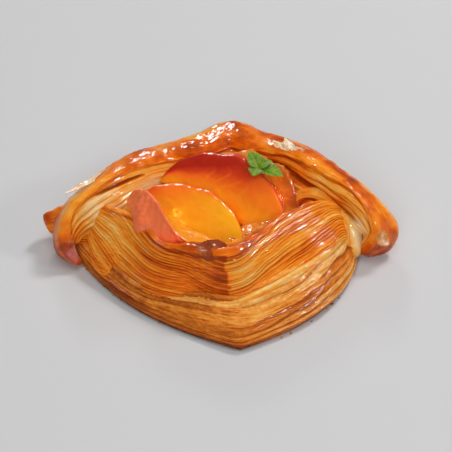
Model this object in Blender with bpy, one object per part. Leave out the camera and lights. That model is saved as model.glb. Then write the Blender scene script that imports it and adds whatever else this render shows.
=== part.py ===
"""Fruit danish: a baked diamond of laminated dough, its two cut borders crossed over at the
left and right corners, with four peach slices and a mint sprig in the well.

All sizes below are millimetres. The frame: +X to the diamond's right corner, +Y to its back
corner, +Z up, origin in the middle of the flat underside.
"""

import math
from typing import NamedTuple

import bmesh
import bpy
from mathutils import Vector

MM = 0.001
CLEARANCE = 0.3  # gap between pieces that touch

# --- The dough's footprint: four corners, and the point that bows the edge between each two ---
FRONT = Vector((8.0, -49.5))
RIGHT = Vector((52.5, 4.0))
BACK = Vector((3.0, 49.3))
LEFT = Vector((-52.0, 2.0))
BOW_FRONT_RIGHT = Vector((43.5, -29.5))
BOW_BACK_RIGHT = Vector((38.0, 34.0))
BOW_BACK_LEFT = Vector((-36.0, 34.0))
BOW_FRONT_LEFT = Vector((-36.0, -34.0))


class Edge(NamedTuple):
    """How the base's cut edge has risen at one place on the footprint."""

    height: float
    lean: float  # how far the top of the edge lies inside its foot
    bulge: float


# Counter-clockwise from the front corner: at each corner and half way along each side
BASE_EDGES = (
    Edge(9.0, 10.0, 1.5),
    Edge(12.5, 6.5, 1.8),
    Edge(11.0, 3.0, 1.5),
    Edge(11.0, 7.0, 1.5),
    Edge(11.0, 11.0, 1.5),
    Edge(10.0, 7.0, 1.5),
    Edge(6.0, 3.0, 1.0),
    Edge(6.5, 3.5, 1.2),
)
WELL_FLOOR = 11.0
FOOT_ROUNDING = 0.8
LEAN_CURVE = 1.3  # above 1, the edge leans in more towards its top
BASE_AROUND = 64
BASE_SIDE_ROWS = 6
BASE_TOP_ROWS = 2


class Waypoint(NamedTuple):
    """A place on a strip of dough, given by its crust."""

    crust: tuple  # middle of the crust
    facing: tuple  # the way the crust faces
    half_width: float
    depth: float  # from the crust to the strip's underside


# The front strip runs from its tip at the left corner, under the back strip and round the front
FRONT_STRIP = (
    Waypoint((-61.0, 9.0, 11.8), (-0.2, 0.5, 0.85), 4.0, 10.5),
    Waypoint((-55.0, 9.5, 13.5), (0.0, 0.5, 0.87), 5.0, 13.0),
    Waypoint((-43.0, 7.0, 15.5), (0.3, 0.5, 0.8), 5.0, 15.0),
    Waypoint((-34.8, 0.8, 18.8), (0.3, 0.6, 0.74), 4.0, 20.5),
    Waypoint((-26.5, -6.2, 20.2), (0.25, 0.6, 0.75), 3.3, 22.0),
    Waypoint((-18.3, -17.1, 19.8), (0.18, 0.55, 0.8), 3.3, 20.5),
    Waypoint((-8.6, -22.8, 21.4), (0.1, 0.5, 0.86), 4.0, 20.0),
    Waypoint((2.5, -24.8, 21.6), (0.0, 0.56, 0.83), 4.8, 19.0),
    Waypoint((10.0, -19.0, 21.6), (-0.1, 0.68, 0.72), 4.8, 20.0),
    Waypoint((17.0, -12.6, 21.8), (-0.3, 0.66, 0.68), 5.0, 20.5),
    Waypoint((25.0, -4.6, 21.8), (-0.44, 0.62, 0.65), 5.4, 20.0),
    Waypoint((32.0, 1.6, 20.6), (-0.5, 0.57, 0.65), 5.8, 18.5),
    Waypoint((37.5, 6.0, 18.4), (-0.52, 0.52, 0.67), 5.4, 16.0),
)
# The back strip comes up from below the left corner, goes round the back and down at the right
BACK_STRIP = (
    Waypoint((-51.0, -8.0, 2.2), (-0.55, -0.75, -0.45), 3.2, 6.0),
    Waypoint((-56.0, -6.4, 5.6), (-0.75, -0.6, 0.0), 4.2, 8.0),
    Waypoint((-57.2, -2.6, 12.5), (-0.85, -0.4, 0.3), 4.8, 12.0),
    Waypoint((-54.0, 2.2, 19.0), (-0.75, -0.1, 0.6), 5.0, 16.0),
    Waypoint((-47.5, 7.4, 23.5), (-0.5, 0.1, 0.87), 4.8, 18.0),
    Waypoint((-39.0, 14.2, 26.2), (-0.2, 0.1, 0.97), 4.8, 18.0),
    Waypoint((-29.0, 21.0, 27.5), (-0.05, 0.1, 0.99), 5.2, 18.0),
    Waypoint((-17.5, 26.5, 27.5), (0.0, 0.1, 0.99), 5.2, 18.0),
    Waypoint((-6.0, 31.6, 27.6), (0.0, 0.1, 0.99), 5.2, 18.5),
    Waypoint((4.0, 37.5, 29.0), (0.0, 0.1, 0.99), 5.6, 19.0),
    Waypoint((14.5, 32.6, 28.4), (0.0, 0.1, 0.99), 5.4, 18.5),
    Waypoint((26.0, 27.0, 28.0), (0.0, 0.1, 0.99), 5.0, 18.0),
    Waypoint((35.6, 19.8, 27.0), (0.05, 0.1, 0.99), 4.6, 18.0),
    Waypoint((43.8, 12.4, 25.6), (0.15, 0.1, 0.98), 4.6, 18.0),
    Waypoint((50.6, 6.2, 23.0), (0.3, 0.05, 0.95), 5.0, 16.0),
    Waypoint((56.4, 0.8, 18.5), (0.45, -0.2, 0.87), 5.8, 13.0),
    Waypoint((59.3, -2.7, 12.0), (0.6, -0.6, 0.53), 6.4, 11.0),
    Waypoint((57.4, -4.6, 6.0), (0.6, -0.8, 0.1), 5.8, 9.0),
    Waypoint((53.6, -4.8, 3.0), (0.45, -0.85, -0.25), 3.6, 5.6),
)
STRIP_AROUND = 20
STRIP_STEPS_PER_WAYPOINT = 3
STRIP_END_STEPS = 2  # rings that round each end off
TANGENT_STEP = 0.01  # share of the strip's length, each way, over which its direction is taken
SECTION_POWER = 4.5  # 2 is an ellipse, more is nearer to a rectangle
CUT_FACE_FAN = 0.1  # the layers open out towards the cut face that shows


class Slice(NamedTuple):
    """A peach slice: a wedge of the fruit, thin on its inner edge and widest at the skin."""

    centre: tuple  # middle of the line between the slice's two tips
    tips: tuple  # the way from the left tip to the right one
    skin: tuple  # the way the middle of the skin faces
    half_length: float
    depth: float
    wedge: float  # angle between the two cut faces, degrees
    twist: float  # from tip to tip, degrees


SLICES = {
    "peach_slice_rear": Slice(
        (10.0, 12.5, 14.5), (0.78, -0.57, -0.3), (0.63, 0.7, 0.33), 20.0, 16.0, 40.0, 0.0
    ),
    "peach_slice_back": Slice(
        (0.0, 4.5, 14.5), (0.86, -0.47, -0.2), (0.44, 0.71, 0.55), 24.5, 20.5, 28.0, 0.0
    ),
    "peach_slice_middle": Slice(
        (-13.0, -5.8, 13.0), (0.9, -0.42, -0.14), (0.4, 0.85, 0.38), 22.5, 18.0, 26.0, 0.0
    ),
    "peach_slice_front": Slice(
        (-12.8, -4.0, 17.6), (0.88, -0.43, -0.09), (-0.48, -0.86, 0.18), 21.5, 13.0, 56.0, 100.0
    ),
}
SLICE_POWER = 3.4
SLICE_AROUND = 14
SLICE_ALONG = 16
INNER_EDGE = 1.2  # half thickness along the inner edge


class Leaf(NamedTuple):
    """A mint leaf, from its stalk end."""

    heading: float  # degrees from +X
    lift: float  # degrees above level
    length: float
    width: float


SPRIG_CENTRE = (13.5, 12.2, 27.0)
SPRIG_BUD = 1.1  # half size of the young leaves in the middle
LEAVES = (
    Leaf(-18.0, 4.0, 9.5, 6.0),
    Leaf(20.0, 25.0, 5.5, 4.2),
    Leaf(150.0, 30.0, 6.0, 4.2),
    Leaf(-130.0, 8.0, 4.5, 4.0),
)
LEAF_HALF_THICKNESS = 0.45
LEAF_AROUND = 8
LEAF_ALONG = 8

# (red, green, blue, roughness)
DOUGH = (0.66, 0.30, 0.08, 0.4)
PEACH = (0.86, 0.32, 0.06, 0.25)
MINT = (0.16, 0.32, 0.04, 0.5)


def clear_scene():
    for old in list(bpy.data.objects):
        bpy.data.objects.remove(old, do_unlink=True)


def new_collection(name):
    made = bpy.data.collections.new(name)
    bpy.context.scene.collection.children.link(made)
    return made


def new_material(name, look):
    """A Principled surface of one colour and roughness."""
    made = bpy.data.materials.new(name)
    made.use_nodes = True
    surface = made.node_tree.nodes["Principled BSDF"]
    surface.inputs["Base Color"].default_value = (*look[:3], 1.0)
    surface.inputs["Roughness"].default_value = look[3]
    surface.inputs["Metallic"].default_value = 0.0
    return made


def spline(values, at):
    """The smooth curve through values, evenly spaced over 0 to 1."""
    spans = len(values) - 1
    span = min(int(at * spans), spans - 1)
    t = at * spans - span
    before = values[max(span - 1, 0)]
    start = values[span]
    end = values[span + 1]
    after = values[min(span + 2, spans)]
    return 0.5 * (
        2 * start
        + (end - before) * t
        + (2 * before - 5 * start + 4 * end - after) * t * t
        + (3 * start - before - 3 * end + after) * t**3
    )


def rounded_square(turn, power):
    """A point of the curve |a|^power + |b|^power = 1, for turn from 0 to 1 round it."""
    a = math.cos(2 * math.pi * turn)
    b = math.sin(2 * math.pi * turn)
    return (
        math.copysign(abs(a) ** (2 / power), a),
        math.copysign(abs(b) ** (2 / power), b),
    )


def wrapped_grid(name, around, along, place):
    """A closed body: a grid wrapped round, with its two ends drawn to a point. place(u, v)
    gives a point in millimetres, with u from 0 to 1 round the body and v along it."""
    shell = bmesh.new()
    bmesh.ops.create_grid(shell, x_segments=around, y_segments=along, size=1.0)
    for vert in shell.verts:
        vert.co = place((vert.co.x + 1) / 2, (vert.co.y + 1) / 2) * MM
    bmesh.ops.remove_doubles(shell, verts=shell.verts, dist=1e-6)
    bmesh.ops.recalc_face_normals(shell, faces=shell.faces)
    mesh = bpy.data.meshes.new(name)
    shell.to_mesh(mesh)
    shell.free()
    mesh.shade_smooth()
    return bpy.data.objects.new(name, mesh)


# ---------------------------------------------------------------- dough


def footprint(turn):
    """The foot of the dough's edge, for turn from 0 to 1 counter-clockwise from the front."""
    corners = (FRONT, RIGHT, BACK, LEFT)
    bows = (BOW_FRONT_RIGHT, BOW_BACK_RIGHT, BOW_BACK_LEFT, BOW_FRONT_LEFT)
    side = int(turn * 4) % 4
    t = turn * 4 - int(turn * 4)
    start, end = corners[side], corners[(side + 1) % 4]
    return start * (1 - t) ** 2 + bows[side] * 2 * t * (1 - t) + end * t**2


def base_edge(turn):
    """The base's edge there, blended between the places that BASE_EDGES gives."""
    place = (turn % 1.0) * len(BASE_EDGES)
    here = BASE_EDGES[int(place) % len(BASE_EDGES)]
    after = BASE_EDGES[(int(place) + 1) % len(BASE_EDGES)]
    t = place - int(place)
    blend = t * t * (3 - 2 * t)
    return Edge(*(a + (b - a) * blend for a, b in zip(here, after)))


def base_point(turn, v):
    """From the middle of the underside (v = 0), round the edge, to the middle of the floor."""
    foot = footprint(turn)
    inward = -foot.normalized()
    edge = base_edge(turn)
    row = v * (1 + BASE_SIDE_ROWS + BASE_TOP_ROWS)
    if row <= 1:
        return Vector((*((foot + inward * FOOT_ROUNDING) * row), 0.0))
    if row <= 1 + BASE_SIDE_ROWS:
        rise = (row - 1) / BASE_SIDE_ROWS
        inset = edge.lean * rise**LEAN_CURVE - edge.bulge * math.sin(math.pi * rise)
        height = FOOT_ROUNDING / 2 + (edge.height - FOOT_ROUNDING / 2) * rise
        if rise == 0:
            inset, height = FOOT_ROUNDING, 0.0
        return Vector((*(foot + inward * inset), height))
    top = (row - 1 - BASE_SIDE_ROWS) / BASE_TOP_ROWS
    plan = (foot + inward * edge.lean) * (1 - top)
    return Vector((*plan, edge.height + (WELL_FLOOR - edge.height) * top))


def make_base():
    rows = 1 + BASE_SIDE_ROWS + BASE_TOP_ROWS
    return wrapped_grid("dough_base", BASE_AROUND, rows, base_point)


def make_strip(name, waypoints):
    """A strip of dough along its waypoints, with rounded ends."""
    crusts = [Vector(w.crust) for w in waypoints]
    facings = [Vector(w.facing).normalized() for w in waypoints]
    half_widths = [w.half_width for w in waypoints]
    depths = [w.depth for w in waypoints]
    steps = STRIP_STEPS_PER_WAYPOINT * (len(waypoints) - 1)
    rows = steps + 2 * STRIP_END_STEPS

    def place(u, v):
        row = v * rows - STRIP_END_STEPS
        at = min(max(row / steps, 0.0), 1.0)
        start, end = max(at - TANGENT_STEP, 0.0), min(at + TANGENT_STEP, 1.0)
        ahead = (spline(crusts, end) - spline(crusts, start)).normalized()
        facing = spline(facings, at)
        facing = (facing - ahead * facing.dot(ahead)).normalized()
        half_depth = spline(depths, at) / 2
        half_width = spline(half_widths, at)
        centre = spline(crusts, at) - facing * half_depth
        swing = max(-row, row - steps, 0.0) / STRIP_END_STEPS * math.pi / 2
        centre += ahead * half_width * math.sin(swing) * (1 if row > 0 else -1)
        a, b = rounded_square(u, SECTION_POWER)
        fan = 1 + CUT_FACE_FAN * a
        across = ahead.cross(facing) * a * half_width
        return centre + (across + facing * b * half_depth * fan) * math.cos(swing)

    return wrapped_grid(name, STRIP_AROUND, rows, place)


# ---------------------------------------------------------------- fruit


def make_slice(name, spec, grow=0.0):
    """A slice, grown by some millimetres all over where it serves as a cutter."""
    centre = Vector(spec.centre)
    tips = Vector(spec.tips).normalized()
    skin = Vector(spec.skin)
    skin = (skin - tips * skin.dot(tips)).normalized()
    open_angle = math.radians(spec.wedge) / 2

    def place(u, v):
        x = -math.cos(math.pi * v)
        arc = math.sqrt(max(1 - x * x, 0.0))
        a, b = rounded_square(u, SLICE_POWER)
        outward = spec.depth * arc * (1 + a) / 2
        thickness = outward * math.tan(open_angle) + INNER_EDGE * arc
        twist = math.radians(spec.twist) * x / 2
        away = skin * math.cos(twist) + tips.cross(skin) * math.sin(twist)
        point = away * (outward + grow * arc * a)
        point += tips.cross(away) * b * (thickness + grow * arc)
        return centre + tips * x * (spec.half_length + grow) + point

    return wrapped_grid(name, SLICE_AROUND, SLICE_ALONG, place)


def make_leaf(name, spec):
    """A flat leaf with pointed ends."""
    heading = math.radians(spec.heading)
    lift = math.radians(spec.lift)
    level = Vector((math.cos(heading), math.sin(heading), 0.0))
    ahead = level * math.cos(lift) + Vector((0.0, 0.0, math.sin(lift)))
    across = Vector((0.0, 0.0, 1.0)).cross(level)
    up = ahead.cross(across)

    def place(u, v):
        full = math.sin(math.pi * v)
        a, b = rounded_square(u, 2)
        point = ahead * spec.length * v + across * a * full * spec.width / 2
        return Vector(SPRIG_CENTRE) + point + up * b * full**0.5 * LEAF_HALF_THICKNESS

    return wrapped_grid(name, LEAF_AROUND, LEAF_ALONG, place)


def make_bud():
    """The sprig's middle, a small ball that its leaves grow from."""

    def place(u, v):
        ring = math.sin(math.pi * v)
        a, b = rounded_square(u, 2)
        ball = Vector((a * ring, b * ring, math.cos(math.pi * v)))
        return Vector(SPRIG_CENTRE) + ball * SPRIG_BUD

    return wrapped_grid("mint_sprig", LEAF_AROUND, LEAF_ALONG, place)


# ---------------------------------------------------------------- putting together


def boolean(obj, operation, other):
    """Joins other to obj, or cuts it from obj. A strip's folds can meet, so self is on."""
    modifier = obj.modifiers.new(f"{operation.lower()}_{other.name}", "BOOLEAN")
    modifier.operation = operation
    modifier.solver = "EXACT"
    modifier.use_self = True
    modifier.object = other


def as_helper(obj, helpers):
    """Keeps obj as something that only a Boolean reads."""
    obj.hide_render = True
    obj.display_type = "WIRE"
    helpers.objects.link(obj)
    return obj


def main():
    clear_scene()
    parts = new_collection("fruit_danish")
    helpers = new_collection("helpers")

    pastry = make_base()
    pastry.name = "pastry"
    parts.objects.link(pastry)
    pastry.data.materials.append(new_material("baked_dough", DOUGH))
    for name, waypoints in (("front_strip", FRONT_STRIP), ("back_strip", BACK_STRIP)):
        boolean(pastry, "UNION", as_helper(make_strip(name, waypoints), helpers))

    peach = new_material("peach_flesh", PEACH)
    nearer = []  # from the front slice back, each slice pushes into the ones behind it
    for name in reversed(SLICES):
        piece = make_slice(name, SLICES[name])
        piece.data.materials.append(peach)
        parts.objects.link(piece)
        for cutter in nearer:
            boolean(piece, "DIFFERENCE", cutter)
        cutter = as_helper(make_slice(f"cut_for_{name}", SLICES[name], CLEARANCE), helpers)
        nearer.append(cutter)
        boolean(pastry, "DIFFERENCE", cutter)

    sprig = make_bud()
    sprig.data.materials.append(new_material("mint_leaf", MINT))
    parts.objects.link(sprig)
    for number, leaf in enumerate(LEAVES, start=1):
        boolean(sprig, "UNION", as_helper(make_leaf(f"leaf_{number}", leaf), helpers))
    for cutter in nearer:
        boolean(sprig, "DIFFERENCE", cutter)


main()
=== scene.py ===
"""Looks of a peach danish: laminated dough, peach slices, a sprig of mint, flakes and glaze.

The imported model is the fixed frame. Each piece made here has the form and the place of the node
that it stands for, with the layers, blisters and colour of the real food added. Sizes are
millimetres until a mesh is made, in the frame's axes: +X to the right corner, +Y to the back
corner, +Z up, origin in the middle of the underside.
"""

import logging
import math
import random
from collections.abc import Callable, Sequence
from dataclasses import dataclass, field
from enum import Enum
from functools import partial
from typing import Any, NamedTuple

import bmesh
import bpy
import numpy as np
from mathutils import Euler, Matrix, Vector, noise


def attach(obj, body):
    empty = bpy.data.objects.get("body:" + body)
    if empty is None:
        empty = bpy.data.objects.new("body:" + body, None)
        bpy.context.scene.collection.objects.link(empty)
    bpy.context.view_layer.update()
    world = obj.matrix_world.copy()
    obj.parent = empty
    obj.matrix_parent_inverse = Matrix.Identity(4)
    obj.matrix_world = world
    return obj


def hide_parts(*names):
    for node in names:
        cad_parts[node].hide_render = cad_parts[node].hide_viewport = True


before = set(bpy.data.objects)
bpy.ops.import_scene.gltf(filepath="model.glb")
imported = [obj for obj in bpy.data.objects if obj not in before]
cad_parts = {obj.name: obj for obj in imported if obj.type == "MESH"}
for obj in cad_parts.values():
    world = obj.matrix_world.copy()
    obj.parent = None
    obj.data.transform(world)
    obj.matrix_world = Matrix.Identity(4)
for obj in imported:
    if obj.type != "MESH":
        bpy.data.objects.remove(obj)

LOG = logging.getLogger("danish")
MM = 0.001
UP = Vector((0.0, 0.0, 1.0))
Triple = tuple[float, float, float]
Ramp = tuple[tuple[float, str], ...]  # places from 0 to 1 and their colours
GLAZE_IOR = 1.4  # sugar glaze
WARM_DEPTHS = (1.0, 0.4, 0.1)  # red light goes deepest into dough and fruit


# ------------------------------------------------------------------ shared sums


def smooth_step(low: float, high: float, value: float) -> float:
    """Runs from 0 at low to 1 at high with no corners.

    Args:
        low: Where the rise starts.
        high: Where it ends.
        value: The place asked for.

    Returns:
        A share from 0 to 1.
    """
    share = min(max((value - low) / (high - low), 0.0), 1.0)
    return share * share * (3.0 - 2.0 * share)


def bell(distance: float, width: float) -> float:
    """A bump of height 1 that has all but gone at twice its width."""
    return math.exp(-((distance / width) ** 2))


def wander(seed: float, x: float, y: float = 0.0) -> float:
    """Smooth unevenness between about -1 and 1, its bumps about 1 apart in x and y."""
    # each seed, a number that only one use has, looks at another part of the noise
    return noise.noise(Vector((x + seed * 13.73, y - seed * 7.19, seed * 3.37 + 0.5)))


def squared(way: Vector, axis: Vector) -> Vector:
    """A direction turned square to a unit axis, at length 1."""
    return (way - axis * way.dot(axis)).normalized()


def spline(values: Sequence[Any], at: float) -> Any:
    """The smooth curve through values, evenly spaced over 0 to 1.

    Args:
        values: Numbers or vectors, at least two.
        at: Share of the way along.

    Returns:
        The value there, of the same kind.
    """
    spans = len(values) - 1
    span = min(int(at * spans), spans - 1)
    t = at * spans - span
    before = values[max(span - 1, 0)]
    start = values[span]
    end = values[span + 1]
    after = values[min(span + 2, spans)]
    return 0.5 * (
        2 * start
        + (end - before) * t
        + (2 * before - 5 * start + 4 * end - after) * t * t
        + (3 * start - before - 3 * end + after) * t**3
    )


# ------------------------------------------------------------------ meshes


class SkinPoint(NamedTuple):
    """A point of a piece's surface and what its material needs to know there."""

    place: Vector
    browning: float = 0.5  # 0 is unbaked or pale, 1 is burnt or deep red; on dough it also carries painted shade and painted light
    crest: float = 1.0  # 0 in the crease between two layers, 1 on a layer's edge; on dough the material paints shade where it is low


class Shell:
    """A mesh in the making, with what its material reads at each point."""

    def __init__(self, mapped: bool = True) -> None:
        """Starts an empty mesh.

        Args:
            mapped: Whether it has the UV map "surface".
        """
        self.mesh = bmesh.new()
        self.mapped = mapped
        self.browning = self.mesh.verts.layers.float.new("browning")
        self.crest = self.mesh.verts.layers.float.new("crest")
        if mapped:
            self.mesh.loops.layers.uv.new("surface")

    def ball(self, fineness: int, form: Matrix) -> list[bmesh.types.BMVert]:
        """Adds a ball of 1 mm radius, put into its form and place.

        Args:
            fineness: Subdivisions of an icosahedron, from 1.
            form: What stretches, turns and moves it.

        Returns:
            Its points.
        """
        made = bmesh.ops.create_icosphere(
            self.mesh, subdivisions=fineness, radius=MM, matrix=form, calc_uvs=self.mapped
        )
        return made["verts"]

    def mark(
        self, verts: Sequence[bmesh.types.BMVert], browning: float, crest: float = 1.0
    ) -> None:
        """Sets what the material reads at some points.

        Args:
            verts: The points.
            browning: Their browning, as in SkinPoint.
            crest: Their crest, likewise.
        """
        for vert in verts:
            vert[self.browning] = browning
            vert[self.crest] = crest


def wrapped_grid(
    name: str, around: int, along: int, point: Callable[[int, int], SkinPoint]
) -> bpy.types.Object:
    """A closed body: a grid wrapped round, with its two ends drawn to a point.

    Args:
        name: Name of the piece.
        around: Steps round the body.
        along: Steps from end to end.
        point: Gives the surface point at a step round and a step along.

    Returns:
        The piece, at the origin, with the UV map "surface" (0 to 1 round and along) and the
        attributes "browning" and "crest".
    """
    shell = Shell()
    bmesh.ops.create_grid(shell.mesh, x_segments=around, y_segments=along, size=1.0, calc_uvs=True)
    for vert in shell.mesh.verts:
        skin = point(round((vert.co.x + 1) / 2 * around), round((vert.co.y + 1) / 2 * along))
        vert.co = skin.place * MM
        shell.mark([vert], skin.browning, skin.crest)
    return finished(name, shell.mesh)


def finished(name: str, form: bmesh.types.BMesh, weld: float = 1e-6) -> bpy.types.Object:
    """Turns a bmesh into a smooth-shaded piece of the scene with its faces outward.

    Args:
        name: Name of the piece.
        form: The bmesh, which is freed.
        weld: Distance within which points are made one, in metres.

    Returns:
        The piece.
    """
    bmesh.ops.remove_doubles(form, verts=form.verts, dist=weld)
    bmesh.ops.recalc_face_normals(form, faces=form.faces)
    mesh = bpy.data.meshes.new(name)
    form.to_mesh(mesh)
    form.free()
    mesh.shade_smooth()
    piece = bpy.data.objects.new(name, mesh)
    bpy.context.scene.collection.objects.link(piece)
    return piece


class Section:
    """A rounded rectangle, as steps that are closest together on the side that shows most."""

    SAMPLES = 6001  # points on the outline that the steps are picked from
    FLAT = 0.8  # share of the half width past which a point counts as on that side
    CRUST_FINENESS = 1.2
    OTHER_FINENESS = 0.6

    def __init__(self, around: int, power: float, proportion: float, fineness: float) -> None:
        """Spreads the steps.

        Args:
            around: How many steps.
            power: 2 gives an ellipse, more is nearer to a rectangle.
            proportion: Depth over width of the strip it is for.
            fineness: How much closer the steps are on the side a = +1.
        """
        turn = np.linspace(0.0, 2 * np.pi, self.SAMPLES)
        a = np.sign(np.cos(turn)) * np.abs(np.cos(turn)) ** (2 / power)
        b = np.sign(np.sin(turn)) * np.abs(np.sin(turn)) ** (2 / power)
        others = np.where(b[1:] > self.FLAT, self.CRUST_FINENESS, self.OTHER_FINENESS)
        closeness = np.where(a[1:] > self.FLAT, fineness, others)
        steps = np.hypot(np.diff(a), np.diff(b) * proportion) * closeness
        travelled = np.concatenate(([0.0], np.cumsum(steps)))
        wanted = np.linspace(0.0, travelled[-1], around + 1)
        self.power = power
        self.a = np.interp(wanted, travelled, a).tolist()
        self.b = np.interp(wanted, travelled, b).tolist()
        self.a[-1], self.b[-1] = self.a[0], self.b[0]

    def outward(self, i: int, half_width: float, half_depth: float) -> tuple[float, float]:
        """The way the surface faces at a step.

        Args:
            i: Which step.
            half_width: Half the section's width, in any unit.
            half_depth: Half its depth, in the same one.

        Returns:
            The parts of a unit vector along the strip's across and facing directions.
        """
        a, b = self.a[i], self.b[i]
        across = math.copysign(abs(a) ** (self.power - 1), a) / half_width
        facing = math.copysign(abs(b) ** (self.power - 1), b) / half_depth
        length = math.hypot(across, facing)
        return across / length, facing / length


# ------------------------------------------------------------------ how dough bakes


@dataclass(frozen=True)
class Layers:
    """The edges of rolled and folded layers on a cut face of dough, lapped like shingles."""

    count: float  # layers from the crust to the underside
    height: float  # how far a full layer stands out
    run: float  # length over which one layer's height changes
    sway: float  # how far the layers' lines wander, in layers
    strand_pitch: float  # between the fine strands that a layer pulls apart into
    strand_height: float
    seed: float
    slow_run: float = 31.0  # length over which the lines' slow wandering changes
    quick_run: float = 9.0  # and over which their quick wandering does
    crowding_run: float = 45.0  # and over which layers crowd together and draw apart
    strand_run: float = 8.0  # length of a coarse strand
    fine_strand_run: float = 3.5
    quick: float = 0.45  # the quick wandering, as a share of the slow one
    crowding: float = 0.55  # how far layers crowd together, in layers
    lowest: float = 0.2  # height of the flattest layer, as a share of a full one
    fine: float = 0.6  # the fine strands' height, as a share of the coarse ones'
    strand_shade: float = 0.25  # how much of a crest goes dark between strands, as painted shade

    def at(self, along: float, level: float, depth: float, slide: float) -> tuple[float, float, float]:
        """What the layers do at one place.

        Args:
            along: Millimetres along the strip.
            level: -1 at the underside to 1 at the crust.
            depth: Millimetres from the crust to the underside.
            slide: How many layers the lines have slid down here.

        Returns:
            How far the surface stands out, how near it is to a layer's edge (0 to 1), and
            how much darker than its neighbours it is (about -1 to 1).
        """
        # the odd factors below keep the wandering of neighbouring layers apart
        drift = wander(self.seed, along / self.slow_run, level * 1.3)
        drift += self.quick * wander(self.seed + 1, along / self.quick_run, level * 3.1)
        place = (level + 1) / 2 * self.count + self.sway * drift + slide
        place += self.crowding * wander(self.seed + 4, along / self.crowding_run, place * 0.45)
        index = math.floor(place)
        part = place - index
        # steep at a layer's lower edge, then falling away, with a peak of about 1
        shingle = 1.9 * part**0.6 * (1 - part) ** 0.8
        swell = wander(self.seed + 2, along / self.run, index * 3.77)
        amount = self.lowest + smooth_step(-0.4, 0.45, swell)
        tone = 1.6 * wander(self.seed + 3, along / (1.6 * self.run), index * 5.31)
        across = level * depth / 2 / self.strand_pitch + slide * 0.4 + drift
        # a strand stands where its noise crosses zero, and 2.2 scales the noise to about 1
        strand = 1 - 2.2 * abs(wander(self.seed + 7, along / self.strand_run, across))
        fine = wander(self.seed + 8, along / self.fine_strand_run, across * 1.9)
        strand += self.fine * (1 - 2.2 * abs(fine))
        # a low crest marks the crease under a layer's edge, where the material paints shade
        crest = 1 - (1 - min(shingle, 1.0)) * min(amount, 1.0)
        crest *= 1 - self.strand_shade + self.strand_shade * min(max(strand, 0.0), 1.0)
        rise = self.height * amount * shingle + self.strand_height * strand
        # the strands' tops are drawn paler, partly their own colour and partly a painted highlight
        return rise, crest, tone - 0.5 * (strand - 0.8)


class Spot(NamedTuple):
    """A place where the dough is drawn darker or paler: by the oven, the glaze or a fold, and in some
    places as painted shade and painted light.
    """

    centre: Triple
    radius: float
    amount: float  # above 0 darker, below 0 paler


class Groove(NamedTuple):
    """A slit between two layers of a strip's cut face."""

    start: float  # share of the strip's length
    end: float
    start_level: float  # -1 at the underside to 1 at the crust
    end_level: float
    width: float
    depth: float


class Crease(NamedTuple):
    """A fold across a strip's cut face, from its crust to its underside, with painted shade on one
    side and painted light on the other.
    """

    share: float  # of the strip's length
    width: float
    height: float  # how far the fold's sharp edge stands out
    # how dark the painted shade on its one side is
    browning: float


def browned(place: Vector, spots: Sequence[Spot]) -> float:
    """The sum of what the spots do at a place."""
    return sum(spot.amount * bell((place - Vector(spot.centre)).length, spot.radius) for spot in spots)


class Waypoint(NamedTuple):
    """A place on a strip of dough, given by its crust."""

    crust: Triple  # middle of the crust
    facing: Triple  # the way the crust faces
    half_width: float
    depth: float  # from the crust to the strip's underside
    slide: float = 0.0  # how many layers the cut face's lines have slid down here
    fold: float = 0.9  # the level down to which the crust is folded over the cut face
    skirt: float = 0.0  # how far the cut face stands out at its foot


class RowFrame(NamedTuple):
    """One ring of a strip."""

    centre: Vector
    across: Vector
    facing: Vector
    half_width: float
    half_depth: float
    shrink: float  # 1 along the strip, down to 0 at the very end
    share: float  # 0 to 1 along the strip
    travelled: float  # millimetres along the strip
    slide: float
    fold: float
    skirt: float


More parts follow.
